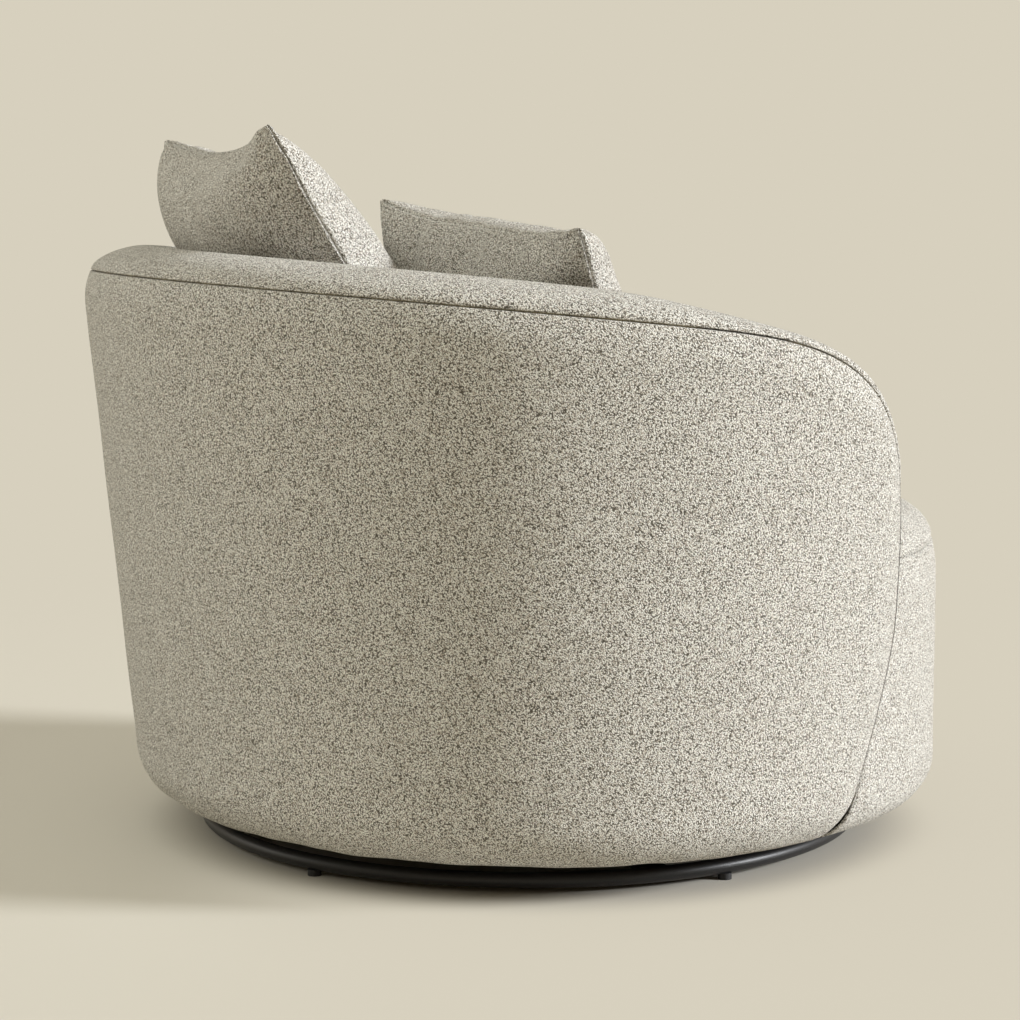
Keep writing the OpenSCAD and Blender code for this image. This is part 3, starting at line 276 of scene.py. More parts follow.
# Each cloth: its yarn colour, the painted shade of the pits between loops, and its darker flecks
cover_cloth = boucle("cover_cloth", (0.90, 0.89, 0.835), (0.10, 0.09, 0.07), (0.54, 0.49, 0.42))
pillow_cloth = boucle("pillow_cloth", (0.88, 0.865, 0.805), (0.09, 0.08, 0.06), (0.51, 0.46, 0.39))
black_metal = metal("black_metal", (0.010, 0.010, 0.011), (0.022, 0.022, 0.023), 0.42, 0.0, 900.0)
steel = metal("steel", (0.52, 0.53, 0.55), (0.36, 0.36, 0.38), 0.35, 1.0, 260.0)
brass = metal("brass", (0.62, 0.48, 0.20), (0.45, 0.34, 0.14), 0.4, 1.0, 260.0)
nylon = metal("nylon", (0.012, 0.012, 0.013), (0.03, 0.03, 0.03), 0.6, 0.0, 400.0)
plywood = wood("plywood", (0.62, 0.45, 0.26), (0.42, 0.27, 0.13), 1.5 * MM)
fibreboard = wood("fibreboard", (0.36, 0.26, 0.16), (0.26, 0.18, 0.10), 4.0 * MM)
pale_foam = foam("pale_foam", (0.80, 0.74, 0.55), (0.55, 0.49, 0.33), 1.6 * MM)
fibre = foam("fibre", (0.84, 0.83, 0.80), (0.62, 0.61, 0.58), 4.0 * MM)
lining = woven("lining", (0.022, 0.022, 0.023), (0.008, 0.008, 0.008), 1.2 * MM)
deck = woven("deck", (0.70, 0.67, 0.58), (0.45, 0.42, 0.35), 1.5 * MM)
zip_tape = woven("zip_tape", (0.38, 0.35, 0.29), (0.20, 0.18, 0.15), 0.8 * MM)

FINISHES = {
    black_metal: ["base_ring", *(f"base_spoke_{n}" for n in range(1, 5)), "hub_plate"],
    nylon: ["glides"],
    steel: ["hub_bolts", "hub_nuts", "glide_screws", "lower_swivel_plate", "bearing_balls", "pivot_bolt",
            "pivot_washer", "pivot_nut", "upper_swivel_plate", "plate_bolts", "tee_nuts", "seat_springs",
            "spring_clips"],
    brass: ["ball_cage"],
    plywood: ["bottom_board", *(f"rib_{n}" for n in range(1, 10)), "arm_post_right", "arm_post_left",
              "top_rail", "seat_frame", "front_studs"],
    fibreboard: ["front_board", "outer_board", "inner_board"],
    lining: ["dust_cover"],
    deck: ["deck_cloth"],
    zip_tape: ["back_cushion_zip", "lumbar_cushion_zip"],
    pale_foam: ["seat_foam", "front_foam", "outer_foam", "inner_foam", "rim_foam"],
    fibre: ["seat_wadding", "back_cushion_insert", "lumbar_cushion_insert"],
}
for finish, nodes in FINISHES.items():
    for node in nodes:
        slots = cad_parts[node].data.materials
        slots.clear()
        slots.append(finish)


# Shapes of the shell, in metres and degrees, as in the construction; angles run from the back

# The wall: oval in plan, leaning out, rounded at its foot and tucked under the body
SHELL_HALF_WIDTH = 553 * MM
SHELL_HALF_DEPTH = 517 * MM
SHELL_LEAN = math.tan(math.radians(5.5))
WALL_THICK = 150 * MM
BODY_LOW = 48 * MM
LOW_ROUND = 67 * MM
WALL_FOOT = BODY_LOW + LOW_ROUND
TUCK = 40 * MM
COVER = 3 * MM

# The arms: where their corners start, where they end, and how far their fronts draw back
CORNER_START, ARM_FRONT = 85.0, 123.9
ARM_RUN = ARM_FRONT - CORNER_START
ARM_CORNER_LOW = 322 * MM
CORNER_FORM = 3.2
LOW_PULL, LOW_PULL_TOP, LOW_PULL_FORM = 9.6, 300 * MM, 1.4
HIGH_PULL, HIGH_PULL_RUN = 1.4, 155 * MM

# The seam between wall and rim: its height at the back, its fall to the corners, the roll of the wall
SEAM_BACK_HEIGHT, SEAM_FALL = 730 * MM, 46 * MM
SEAM_INSET, SEAM_ROLL = 12 * MM, 45 * MM
SEAM_SPACING = 6 * MM

# The padded rim above the seam: its rise and the form of its dome, from the back to the arms' feet;
# the places of the rises are shares of the arm's run from its corner's start
RISE_BACK, RISE_SIDE, RISE_FLAT, RISE_ARM, RISE_LOW = 30 * MM, 26.5 * MM, 14 * MM, 22 * MM, 5 * MM
RISE_PLACES = (-0.2, 0, 0.2, 0.4, 1)
RISES = (RISE_BACK, RISE_SIDE, (RISE_SIDE + 4 * RISE_FLAT) / 5, RISE_FLAT, RISE_ARM)
RISE_SMOOTH = 12
DOME_BACK, DOME_ARM, DOME_LOW = 1.6, 3.0, 2.0
DOME_TURN = 0.6 * CORNER_START
BAND_LOW = BODY_LOW + 5 * MM
BAND_HALF = (WALL_THICK - SEAM_INSET) / 2

# The seat: the drum in front, the seam of its top and the crown above that
DRUM, DRUM_ROUND, DRUM_FACE_TOP = 533 * MM, 50 * MM, 330 * MM
SEAT_SEAM, SEAT_INSET, CROWN = 385 * MM, 6 * MM, 60 * MM
SEAT_SIDE_HEIGHT = 425 * MM
FRONT_GAP = 3.6 * MM
PAD_LOW = 312 * MM
# Below this height beside the seat the rim goes over to its flatter form at the arms' feet
LOW_RISE_TOP = SEAT_SEAM + CROWN + 3 * RISE_ARM

# Width and depth of the groove that a seam draws into the cloth
GROOVE_WIDE, GROOVE_FLOOR, GROOVE_DEEP = 2.6 * MM, 0.6 * MM, 7 * MM
# Down the arm's front the seam's shade is painted on as a dark line: where it starts and how wide it is
FRONT_SEAM_TOP, FRONT_SEAM_RUN, FRONT_SHADE_WIDTH = 520 * MM, 120 * MM, 7 * MM

# Every cover is cloth of this thickness, and its waves fade out this near to a seam
CLOTH = 2.4 * MM
WALL_FADE, DRUM_FADE = 20 * MM, 25 * MM
# Unevenness of the laid cloth: length of its waves, their height and a number that sets them apart
WALL_WAVES = 110 * MM, 1.1 * MM, 1
FOOT_WAVES = 45 * MM, 1.6 * MM, 2
FOOT_EDGE_WAVES = 50 * MM, 2.4 * MM, 3
SEAT_WAVES = 130 * MM, 2.0 * MM, 4
DRUM_WAVES = 120 * MM, 1.2 * MM, 5


def clamped(v):
    """Each value held between 0 and 1."""
    return np.clip(v, 0.0, 1.0)


def smooth_share(v):
    """0 up to 0, 1 from 1 on, smooth in between."""
    v = clamped(v)
    return v * v * (3 - 2 * v)


def running_mean(values, reach):
    """Each value averaged with so many on either side; the ends are used up."""
    return np.convolve(values, np.ones(2 * reach + 1) / (2 * reach + 1), "valid")


def lean_out(z):
    """How far the wall leans out at a height."""
    return (np.maximum(z, WALL_FOOT) - WALL_FOOT) * SHELL_LEAN


def pull_at(z):
    """How far an arm's front draws back at a height, in degrees."""
    return (LOW_PULL * clamped((LOW_PULL_TOP - z) / (LOW_PULL_TOP - BODY_LOW)) ** LOW_PULL_FORM
            + HIGH_PULL * clamped((z - ARM_CORNER_LOW) / HIGH_PULL_RUN))


def wall_point(angle, z, depth):
    """A point of the wall from its angle off the back, its height and its depth below the face."""
    angle, z, depth = np.broadcast_arrays(np.asarray(angle, float), z, depth)
    forward = clamped((np.abs(angle) - CORNER_START) / ARM_RUN) ** 2
    turn = np.radians(angle - np.sign(angle) * pull_at(z) * forward)
    return np.stack([-(SHELL_HALF_WIDTH + lean_out(z) - depth) * np.sin(turn),
                     (SHELL_HALF_DEPTH + lean_out(z) - depth) * np.cos(turn), z + 0 * turn], -1)


def gentle_height(angle):
    """The seam's height at the back and the sides, short of the arm's corner."""
    return SEAM_BACK_HEIGHT - SEAM_FALL * (np.abs(angle) / CORNER_START) ** 2


# Length of one degree along the wall at the height of the seam
ARC = (SHELL_HALF_WIDTH + SHELL_HALF_DEPTH + 2 * lean_out(SEAM_BACK_HEIGHT)) / 2 * math.pi / 180


def seam_line(steps=500):
    """The shell's seam, from the left arm's foot over the back to the right arm's foot."""
    share = np.linspace(0, 1, steps)
    back = np.column_stack([CORNER_START * share, gentle_height(CORNER_START * share)])
    turn = np.radians(90 * share[1:])
    angle = CORNER_START + ARM_RUN * np.sin(turn) ** (2 / CORNER_FORM)
    corner_fall = np.maximum(np.cos(turn), 0) ** (2 / CORNER_FORM)
    corner = np.column_stack([angle, ARM_CORNER_LOW
                              + (gentle_height(angle) - ARM_CORNER_LOW) * corner_fall])
    front = np.column_stack([np.full(steps - 1, ARM_FRONT),
                             ARM_CORNER_LOW + (BAND_LOW - ARM_CORNER_LOW) * share[1:]])
    half = np.concatenate([back, corner, front])
    whole = np.concatenate([half[:0:-1] * (-1, 1), half])
    spans = np.linalg.norm(np.diff(whole * (ARC, 1), axis=0), axis=1)
    length = np.concatenate([[0], np.cumsum(spans)])
    even = np.linspace(0, length[-1], int(length[-1] / SEAM_SPACING) + 1)
    return np.column_stack([np.interp(even, length, whole[:, 0]), np.interp(even, length, whole[:, 1])])


seam = seam_line()
seam_flat = seam * (ARC, 1)
seam_way = np.gradient(seam_flat, axis=0)
seam_up = np.column_stack([-seam_way[:, 1], seam_way[:, 0]]) / np.linalg.norm(seam_way, axis=1)[:, None]


def shifted(rise):
    """The seam's points moved out of the wall's edge by a rise, one per point."""
    return seam + seam_up * np.asarray(rise)[:, None] / (ARC, 1)


def seam_distance(angle, z):
    """How far points of the wall lie from the seam."""
    points = np.stack([angle * ARC, z], -1).reshape(-1, 2)
    nearest = np.full(len(points), 1e9)
    for a, b in zip(seam_flat[:-1], seam_flat[1:]):
        ab = b - a
        t = clamped(((points - a) @ ab) / (ab @ ab))
        nearest = np.minimum(nearest, np.linalg.norm(points - a - t[:, None] * ab, axis=1))
    return nearest.reshape(np.shape(angle))


def waves(points, size, amount, seed):
    """Unevenness of hand-laid cloth: one smooth number per point."""
    flat = points.reshape(-1, 3)
    offset = Vector((seed * 7.3, seed * 3.1, seed * 5.7))
    values = [noise.noise(Vector(p) / size + offset) for p in flat]
    return np.array(values).reshape(points.shape[:-1]) * amount


def groove(distance):
    """How deep a seam draws the cloth in at a distance from it."""
    return GROOVE_DEEP * (1 - smooth_share((distance - GROOVE_FLOOR) / (GROOVE_WIDE - GROOVE_FLOOR)))


def dome_along():
    """The rim's rise above the seam and the power of its dome, one each per point of the seam."""
    angle = np.abs(seam[:, 0])
    low = smooth_share((LOW_RISE_TOP - seam[:, 1]) / CROWN)
    rise = np.interp(angle, CORNER_START + ARM_RUN * np.array(RISE_PLACES), RISES)
    rise = running_mean(np.pad(rise, RISE_SMOOTH, "edge"), RISE_SMOOTH)
    power = DOME_BACK + (DOME_ARM - DOME_BACK) * clamped((angle - DOME_TURN) / (ARM_RUN + DOME_TURN))
    return rise + (RISE_LOW - rise) * low, power + (DOME_LOW - power) * low


def link(name, mesh):
    """A new object in the scene from its mesh or lamp."""
    made = bpy.data.objects.new(name, mesh)
    bpy.context.scene.collection.objects.link(made)
    return made


def grid_piece(name, grid, flip=False, closed=False):
    """A piece of cover cloth from columns and rows of points; its thickness goes to the inner side."""
    columns, rows = grid.shape[:2]
    faces = []
    for i in range(columns if closed else columns - 1):
        for j in range(rows - 1):
            a, b = i * rows + j, (i + 1) % columns * rows + j
            faces.append((a, a + 1, b + 1, b) if flip else (a, b, b + 1, a + 1))
    mesh = bpy.data.meshes.new(name)
    mesh.from_pydata(grid.reshape(-1, 3).tolist(), [], faces)
    mesh.materials.append(cover_cloth)
    mesh.shade_smooth()
    made = link(name, mesh)
    solid = made.modifiers.new("thickness", "SOLIDIFY")
    solid.thickness = CLOTH
    solid.offset = -1
    return made


def finished(piece, body, node):
    """Rides a piece on its body and hides the node of the construction it stands for."""
    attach(piece, body)
    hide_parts(node)


# Columns of the wall: the seam's own points between the arms' corners
upper_part = seam[:, 1] > ARM_CORNER_LOW
wall_angles, wall_tops = seam[upper_part].T
# Rows of points below the seam, in mm, closest where the cloth rolls into it
OUTER_ROWS = (0, 0.6, 1.0, 1.4, 1.8, 2.2, 2.6, 3.4, 4.6, 6.5, 9, 12, 16, 22, 28, 36, 45, 56, 70)
INNER_ROWS = (0, 0.6, 1.2, 1.8, 2.6, 4, 6, 9, 14, 22, 34, 47, 60)
# Rows round the foot of the wall or the drum, and shares of the tuck under the body
FOOT_TURN = np.radians(np.linspace(0, 90, 11))
TUCK_SHARES = np.array([0.3, 0.65, 1.0])
# Rows down the plain wall and round the rim's dome
OUTER_PLAIN_ROWS, INNER_PLAIN_ROWS, DOME_ROWS = 44, 25, 33
# Points along the seat's sides and back, its nose, its border, and the way past each arm's front
SIDE_POINTS, NOSE_POINTS, BORDER_POINTS, CROSSING_POINTS = 150, 90, 130, 10


def outer_column(angle, top):
    """Angles, heights and depths down the outside: to the foot, round it and into the tuck."""
    down = top - np.array(OUTER_ROWS) * MM
    rest = np.linspace(down[-1], WALL_FOOT, OUTER_PLAIN_ROWS + 2)[1:-1]
    z = np.concatenate([down, rest, WALL_FOOT - LOW_ROUND * np.sin(FOOT_TURN),
                        [BODY_LOW] * len(TUCK_SHARES)])
    depth = np.concatenate([0 * down, 0 * rest, LOW_ROUND * (1 - np.cos(FOOT_TURN)),
                            LOW_ROUND + TUCK * TUCK_SHARES])
    return np.full(len(z), angle), z, depth


def inner_column(angle, top):
    """Angles and heights down the inside, to below the seat's edge."""
    down = np.maximum(top - np.array(INNER_ROWS) * MM, PAD_LOW)
    z = np.concatenate([down, np.linspace(down[-1], PAD_LOW - 4 * MM, INNER_PLAIN_ROWS + 1)[1:]])
    return np.full(len(z), angle), z


def wall_columns(column):
    """All columns of the wall, as one array of angles, one of heights and so on."""
    return np.array([column(*at) for at in zip(wall_angles, wall_tops)]).transpose(1, 0, 2)


# The outside of the shell: rolls into the seam above, turns under the body below
angles, heights, depths = wall_columns(outer_column)
distance = seam_distance(angles, heights)
arm_front = (smooth_share((FRONT_SEAM_TOP - heights) / FRONT_SEAM_RUN)
             * smooth_share((heights - BODY_LOW) / LOW_ROUND))
inset = SEAM_INSET * clamped(1 - distance / (SEAM_ROLL * (1 + arm_front))) ** 2 + groove(distance)
plain_wall = wall_point(angles, heights, depths)
off_seam = clamped(distance / WALL_FADE)
low_edge = clamped((WALL_FOOT - heights) / LOW_ROUND)
uneven = waves(plain_wall, *WALL_WAVES) * off_seam + waves(plain_wall, *FOOT_WAVES) * low_edge * off_seam
shell_grid = wall_point(angles, heights, depths + inset + uneven)
shell_grid[..., 2] += waves(plain_wall, *FOOT_EDGE_WAVES) * low_edge
shell_cover = grid_piece("shell_cover", shell_grid, flip=True)
# Painted shade along the seam down the arm's front: full at the seam, fading out over the line's width
painted_seam_shade = shell_cover.data.attributes.new("painted_seam_shade", "FLOAT", "POINT")
line = arm_front * (1 - smooth_share((distance - FRONT_SHADE_WIDTH / 2) / FRONT_SHADE_WIDTH))
painted_seam_shade.data.foreach_set("value", line.ravel())
finished(shell_cover, "chair", "outer_cover")

# The padded rim's own strip of cloth, over the top and down both arm fronts, with its edges sewn in
shares = -np.cos(np.radians(np.linspace(0, 180, DOME_ROWS)))
rise, power = dome_along()
below = clamped((WALL_FOOT - seam[:, 1]) / LOW_ROUND)
low_pull = LOW_ROUND * (1 - np.sqrt(1 - below ** 2))
band_columns = []
for share in shares:
    at = shifted(rise * (1 - abs(share) ** power) ** (1 / power))
    depth = np.full(len(seam), SEAM_INSET + BAND_HALF * (1 + share)) + low_pull * (1 - share) / 2
    band_columns.append((at, depth))
SEWN_IN = (0.6 * MM, GROOVE_DEEP / 2, GROOVE_DEEP)
for deep in SEWN_IN:
    band_columns.insert(0, (seam, band_columns[1][1] + deep))
    band_columns.append((seam, band_columns[-2][1] - deep))
band_grid = np.stack([wall_point(at[:, 0], at[:, 1], depth) for at, depth in band_columns], 1)
rim_band = grid_piece("rim_band", band_grid)
finished(rim_band, "chair", "rim_band_cover")

# The inside of the shell, down to below the seat's edge; it plumps up beside the seam and farther off
PLUMP_NEAR, PLUMP_NEAR_RUN = 1.4 * MM, 6 * MM
PLUMP_FAR, PLUMP_FAR_RUN = 1.6 * MM, 90 * MM
angles, heights = wall_columns(inner_column)
distance = seam_distance(angles, heights)
plump = (PLUMP_NEAR * smooth_share((distance - GROOVE_WIDE) / PLUMP_NEAR_RUN)
         + PLUMP_FAR * smooth_share(distance / PLUMP_FAR_RUN))
inner_grid = wall_point(angles, heights, WALL_THICK - groove(distance) + plump)
inner_plain = wall_point(angles, heights, WALL_THICK + plump)
inner_cover = grid_piece("inner_cover_cloth", inner_grid)
finished(inner_cover, "chair", "inner_cover")

# Where the arms' fronts cross the drum, as the drum's own angle
front_turn = math.radians(ARM_FRONT)
face_angle = math.degrees(math.atan2((SHELL_HALF_WIDTH + lean_out(SEAT_SEAM)) * math.sin(front_turn),
                                     (SHELL_HALF_DEPTH + lean_out(SEAT_SEAM)) * math.cos(front_turn)))
NOSE_START = face_angle + math.degrees(FRONT_GAP / DRUM)

# Heights of the seat's crown above the seam, in mm, by the distance inwards from the drum's face
CROWN_IN = (6, 7, 9, 16, 32, 48, 80, 115, 229, 533)
CROWN_UP = (0, 5, 10, 22, 34, 42, 46, 49, 54.6, 60)
CROWN_STEPS, CROWN_SMOOTH, CROWN_BLEND = 1200, (16, 12), 24 * MM
fine_in = np.linspace(0, DRUM, CROWN_STEPS)
fine_up = np.interp(fine_in, np.array(CROWN_IN) * MM, SEAT_SEAM + np.array(CROWN_UP) * MM)
blend_in = smooth_share((fine_in - SEAT_INSET) / CROWN_BLEND)
for reach in CROWN_SMOOTH:
    mirrored = 2 * fine_up[0] - fine_up[reach:0:-1]
    smoothed = running_mean(np.concatenate([mirrored, fine_up, np.full(reach, fine_up[-1])]), reach)
    fine_up = fine_up * (1 - blend_in) + smoothed * blend_in


def seat_height(x, y):
    """The height of the seat's crown at a place."""
    return np.interp(DRUM - np.hypot(x, y), fine_in, fine_up)


def across(start, end):
    """Points on the straight way between two corners of the seat."""
    return start + (end - start) * np.linspace(0, 1, CROSSING_POINTS + 2)[1:-1, None]


# The seat's crowned top in plan: along the inside of the shell, past the arms, round the drum's nose
inside_end = ARM_FRONT + math.degrees(FRONT_GAP / (SHELL_HALF_DEPTH + lean_out(SEAT_SEAM) - WALL_THICK))
side_angles = np.linspace(-inside_end, inside_end, SIDE_POINTS)
inside = wall_point(side_angles, SEAT_SIDE_HEIGHT, WALL_THICK + 1 * MM)[:, :2]
top_start = NOSE_START - pull_at(SEAT_SEAM - COVER)
nose_turn = np.radians(np.linspace(top_start, 360 - top_start, NOSE_POINTS))
nose = (DRUM - SEAT_INSET) * np.column_stack([-np.sin(nose_turn), np.cos(nose_turn)])
outline = np.concatenate([inside, across(inside[-1], nose[0]), nose, across(nose[-1], inside[0])])
# Rings from the outline to the middle, closest at the edge; the waves fade out over the outer ones
SEAT_FADE = 0.2
RINGS = np.array([1, 0.9988, 0.9976, 0.996, 0.9935, 0.9905, 0.986, 0.98, 0.97, 0.955, 0.935, 0.91, 0.88,
                  0.84, 0.79, 0.73, 0.66, 0.58, 0.5, 0.42, 0.34, 0.26, 0.18, 0.1, 0.03, 0.01, 0.0006])
seat_grid = np.stack([np.column_stack([outline * s, seat_height(*(outline * s).T)]) for s in RINGS], 1)
seat_grid[..., 2] += waves(seat_grid, *SEAT_WAVES) * clamped((1 - RINGS) / SEAT_FADE)
# At the drum's nose the top's edge is sewn in below the border's
at_nose = np.hypot(*seat_grid[:, 0, :2].T) > DRUM - SEAT_INSET - 1 * MM
seat_grid[at_nose, 0, 2] -= GROOVE_DEEP
seat_grid[at_nose, 0, :2] *= 1 - 1.2 * MM / DRUM
seat_top = grid_piece("seat_top_cloth", seat_grid, closed=True)
finished(seat_top, "chair", "seat_top_cover")

# The drum's border: from the top's seam over the face to the tuck under the body
UPPER_ROWS, FACE_ROWS, UPPER_FORM = 16, 22, 2.2
upper = np.linspace(1, 0, UPPER_ROWS)
round_high = SEAT_SEAM - COVER - DRUM_FACE_TOP
z = np.concatenate([DRUM_FACE_TOP + round_high * upper,
                    np.linspace(DRUM_FACE_TOP, BODY_LOW + DRUM_ROUND, FACE_ROWS + 2)[1:-1],
                    BODY_LOW + DRUM_ROUND * (1 - np.sin(FOOT_TURN)), [BODY_LOW] * len(TUCK_SHARES)])
radius = np.concatenate([DRUM - SEAT_INSET * upper ** UPPER_FORM, np.full(FACE_ROWS, DRUM),
                         DRUM - DRUM_ROUND * (1 - np.cos(FOOT_TURN)),
                         DRUM - DRUM_ROUND - TUCK * TUCK_SHARES])
in_groove = clamped(1 - (z[0] - z) / GROOVE_WIDE) * (np.arange(len(z)) < UPPER_ROWS)
radius = radius - GROOVE_DEEP * in_groove
starts = NOSE_START - pull_at(z)
turns = np.radians(starts + (360 - 2 * starts) * np.linspace(0, 1, BORDER_POINTS)[:, None])
border_grid = np.stack([-radius * np.sin(turns), radius * np.cos(turns), z + 0 * turns], -1)
bulge = waves(border_grid, *DRUM_WAVES) * clamped((z[0] - z) / DRUM_FADE)
border_grid[..., 0] -= bulge * np.sin(turns)
border_grid[..., 1] += bulge * np.cos(turns)
seat_border = grid_piece("seat_border_cloth", border_grid, flip=True)
finished(seat_border, "chair", "seat_border_cover")


# Cushions

# As constructed: the seam's thickness, the drawn-in sides as a share of the size, how the faces crown
EDGE = 5 * MM
WAIST, CROWN_POWER = 0.07, 0.38
# As filled: how the corners round off and how full the faces are towards the sides
EARS, EAR_FORM = 0.015, 9
SIDE_FORM = 2.8
# One face of a filled cushion: its depth, the power beside the near side and beside the far one, form
# and power of the rise from foot to top, and how much deeper it grows towards the top
Face = namedtuple("Face", "depth near far form rising growth")
# Heights from which a face grows deeper and at which it has its stated depth, from -1 to 1
GROWTH_FROM, GROWTH_EVEN = 0.2, 0.6
# Share of the sine in the spacing of a cushion's squares, which are closer at the edges
CLOSER = 0.6
SEW_WIDE, SEW_DEEP = 1.8 * MM, 8.0 * MM
FILLING_INSET = 5 * MM
PRESSED_GAP = 2 * MM
# Folds: how many, how they differ between the four corners, and their share beside the broad hollows
FOLD_COUNT, FOLD_SIDE, FOLD_END, FOLD_SHARE = 14, 1.3, 2.1, 0.6
# Folds are full from the first of these inwards and end at the second, on a scale from 0 at the edge
# to 2 in the middle; off the middle lines they grow up to the third, a share of the half size
FOLD_FULL, FOLD_OUT, FOLD_CORNER = 0.25, 1.3, 0.6
# Hollows: their length, the share of a point's depth that counts for them, and how far in they are full
HOLLOW, HOLLOW_THROUGH, HOLLOW_FULL = 90 * MM, 0.4, 0.3
FILLING_FRAMES = 20
FILLING_SETTINGS = {
    "vertex_group_mass": "seam", "shrink_min": -0.02, "quality": 6, "mass": 0.3,
    "tension_stiffness": 18, "compression_stiffness": 18, "shear_stiffness": 8,
    "bending_stiffness": 0.6, "use_pressure": True, "uniform_pressure_force": 4.0,
}


def cushion_point(wide, high, depths, u, v, side):
    """The cushion as constructed: crowned faces, drawn-in sides and a sagging top."""
    depth = depths[0] if side > 0 else depths[1]
    drop = WAIST * high / 2 * (1 - u * u) * np.maximum(0, v)
    crowned = np.maximum(0, (1 - u * u) * (1 - v * v)) ** CROWN_POWER
    return np.stack([wide / 2 * u * (1 - WAIST * (1 - v * v)), high / 2 * (1 + v) - drop,
                     side * (depth - EDGE / 2) * crowned], -1)


def filled_point(wide, high, faces, u, v, side, waist, sag):
    """The visible cushion: its edges as sewn, its faces filled. Sag: its share and its form."""
    face = faces[0] if side > 0 else faces[1]
    round_off = 1 - EARS * np.abs(u * v) ** EAR_FORM
    drop = sag[0] * high / 2 * (1 - np.abs(u) ** sag[1]) * np.maximum(0, v)
    power = face.near + (face.far - face.near) * smooth_share(u + 0.5)
    depth = face.depth * (1 + face.growth * (np.maximum(v, GROWTH_FROM) - GROWTH_EVEN))
    risen = np.maximum(0, 1 - np.abs(v) ** face.form) ** face.rising
    return np.stack([wide / 2 * u * (1 - waist * (1 - v * v)) * round_off,
                     high / 2 * (1 + v * round_off) - drop,
                     side * depth * (1 - np.abs(u) ** SIDE_FORM) ** power * risen], -1)


def steps(count):
    """Places from side to side of a cushion, from -1 to 1."""
    return (np.sin(np.linspace(-90, 90, count + 1) * math.pi / 180) * CLOSER
            + np.linspace(-1, 1, count + 1) * (1 - CLOSER))


def cushion_mesh(name, wide, high, faces, cells, waist, sag):
    """Two faces of squares, sewn together along their edges."""
    made = bmesh.new()
    count_u, count_v = cells
    rim = {}
    for side in (1, -1):
        corners = {}
        for i, u in enumerate(steps(count_u)):
            for j, v in enumerate(steps(count_v)):
                on_edge = i in (0, count_u) or j in (0, count_v)
                if on_edge and (i, j) in rim:
                    corners[i, j] = rim[i, j]
                    continue
                corners[i, j] = made.verts.new(filled_point(wide, high, faces, u, v, side, waist, sag))
                if on_edge:
                    rim[i, j] = corners[i, j]
        for i in range(count_u):
            for j in range(count_v):
                square = [corners[i, j], corners[i + 1, j], corners[i + 1, j + 1], corners[i, j + 1]]
                made.faces.new(square if side > 0 else square[::-1])
    made.verts.index_update()
    edge = sorted(v.index for v in rim.values())
    mesh = bpy.data.meshes.new(name)
    made.to_mesh(mesh)
    made.free()
    return mesh, edge


def inflate(piece, edge, cap):
    """Fills the sewn cushion with pressure, as cloth held at its seam; no point moves beyond the cap."""
    before = np.array([v.co for v in piece.data.vertices])
    held = piece.vertex_groups.new(name="seam")
    held.add(edge, 1.0, "REPLACE")
    cloth = piece.modifiers.new("filling", "CLOTH")
    for name, value in FILLING_SETTINGS.items():
        setattr(cloth.settings, name, value)
    cloth.settings.effector_weights.gravity = 0
    cloth.collision_settings.use_self_collision = False
    scene = bpy.context.scene
    cloth.point_cache.frame_start, cloth.point_cache.frame_end = 1, FILLING_FRAMES
    for number in range(1, FILLING_FRAMES + 1):
        scene.frame_set(number)
    shaped = piece.evaluated_get(bpy.context.evaluated_depsgraph_get())
    after = np.array([v.co for v in shaped.data.vertices])
    piece.modifiers.remove(cloth)
    scene.frame_set(1)
    move = after - before
    length = np.linalg.norm(move, axis=1, keepdims=True)
    move *= np.minimum(1, cap / np.maximum(length, 1e-9))
    piece.data.vertices.foreach_set("co", (before + move).ravel())
    piece.data.update()


def folded(points, wide, high, seed, amount):
    """Shallow folds that run from the corners and the edges towards the middle, and broad hollows."""
    u = points[:, 0] / (wide / 2)
    v = points[:, 1] / (high / 2) - 1
    side = np.sign(points[:, 2])
    edge = clamped(1 - np.maximum(np.abs(u), np.abs(v))) * 2
    corner = np.minimum(np.abs(u), np.abs(v))
    angle = np.arctan2(np.abs(v), np.abs(u))
    folds = np.sin(angle * FOLD_COUNT + np.sign(u) * FOLD_SIDE + np.sign(v) * FOLD_END + seed)
    fall = clamped(edge / FOLD_FULL) * clamped(1 - edge / FOLD_OUT) * smooth_share(corner / FOLD_CORNER)
    broad = waves(points * (1, 1, HOLLOW_THROUGH), HOLLOW, 1.0, seed)
    moved = points.copy()
    moved[:, 2] += side * amount * (folds * fall * FOLD_SHARE + broad * clamped(edge / HOLLOW_FULL))
    return moved


def pressed(points, seat, neighbours):
    """Keeps a cushion's faces off its neighbours: they press it flat where it would reach into them."""
    out = points.copy()
    for index, (x, y, z) in enumerate(points):
        side = 1 if z > 0 else -1
        start = seat @ Vector((x, y, 0))
        way = seat.to_3x3() @ Vector((0, 0, side))
        for other in neighbours:
            hit = other.ray_cast(start, way, abs(z) + PRESSED_GAP)
            if hit[0] is not None:
                out[index, 2] = side * min(abs(out[index, 2]), max(0, hit[3] - PRESSED_GAP))
    return out


def surface_of(piece):
    """The surface of a piece, where it stands."""
    mesh = piece.data
    turn = piece.matrix_world
    return BVHTree.FromPolygons([turn @ v.co for v in mesh.vertices],
                                [tuple(p.vertices) for p in mesh.polygons])


def surface_through(grid):
    """The surface through columns and rows of points."""
    columns, rows = grid.shape[:2]
    faces = [(i * rows + j, i * rows + j + 1, (i + 1) * rows + j + 1, (i + 1) * rows + j)
             for i in range(columns - 1) for j in range(rows - 1)]
    return BVHTree.FromPolygons(grid.reshape(-1, 3).tolist(), faces)


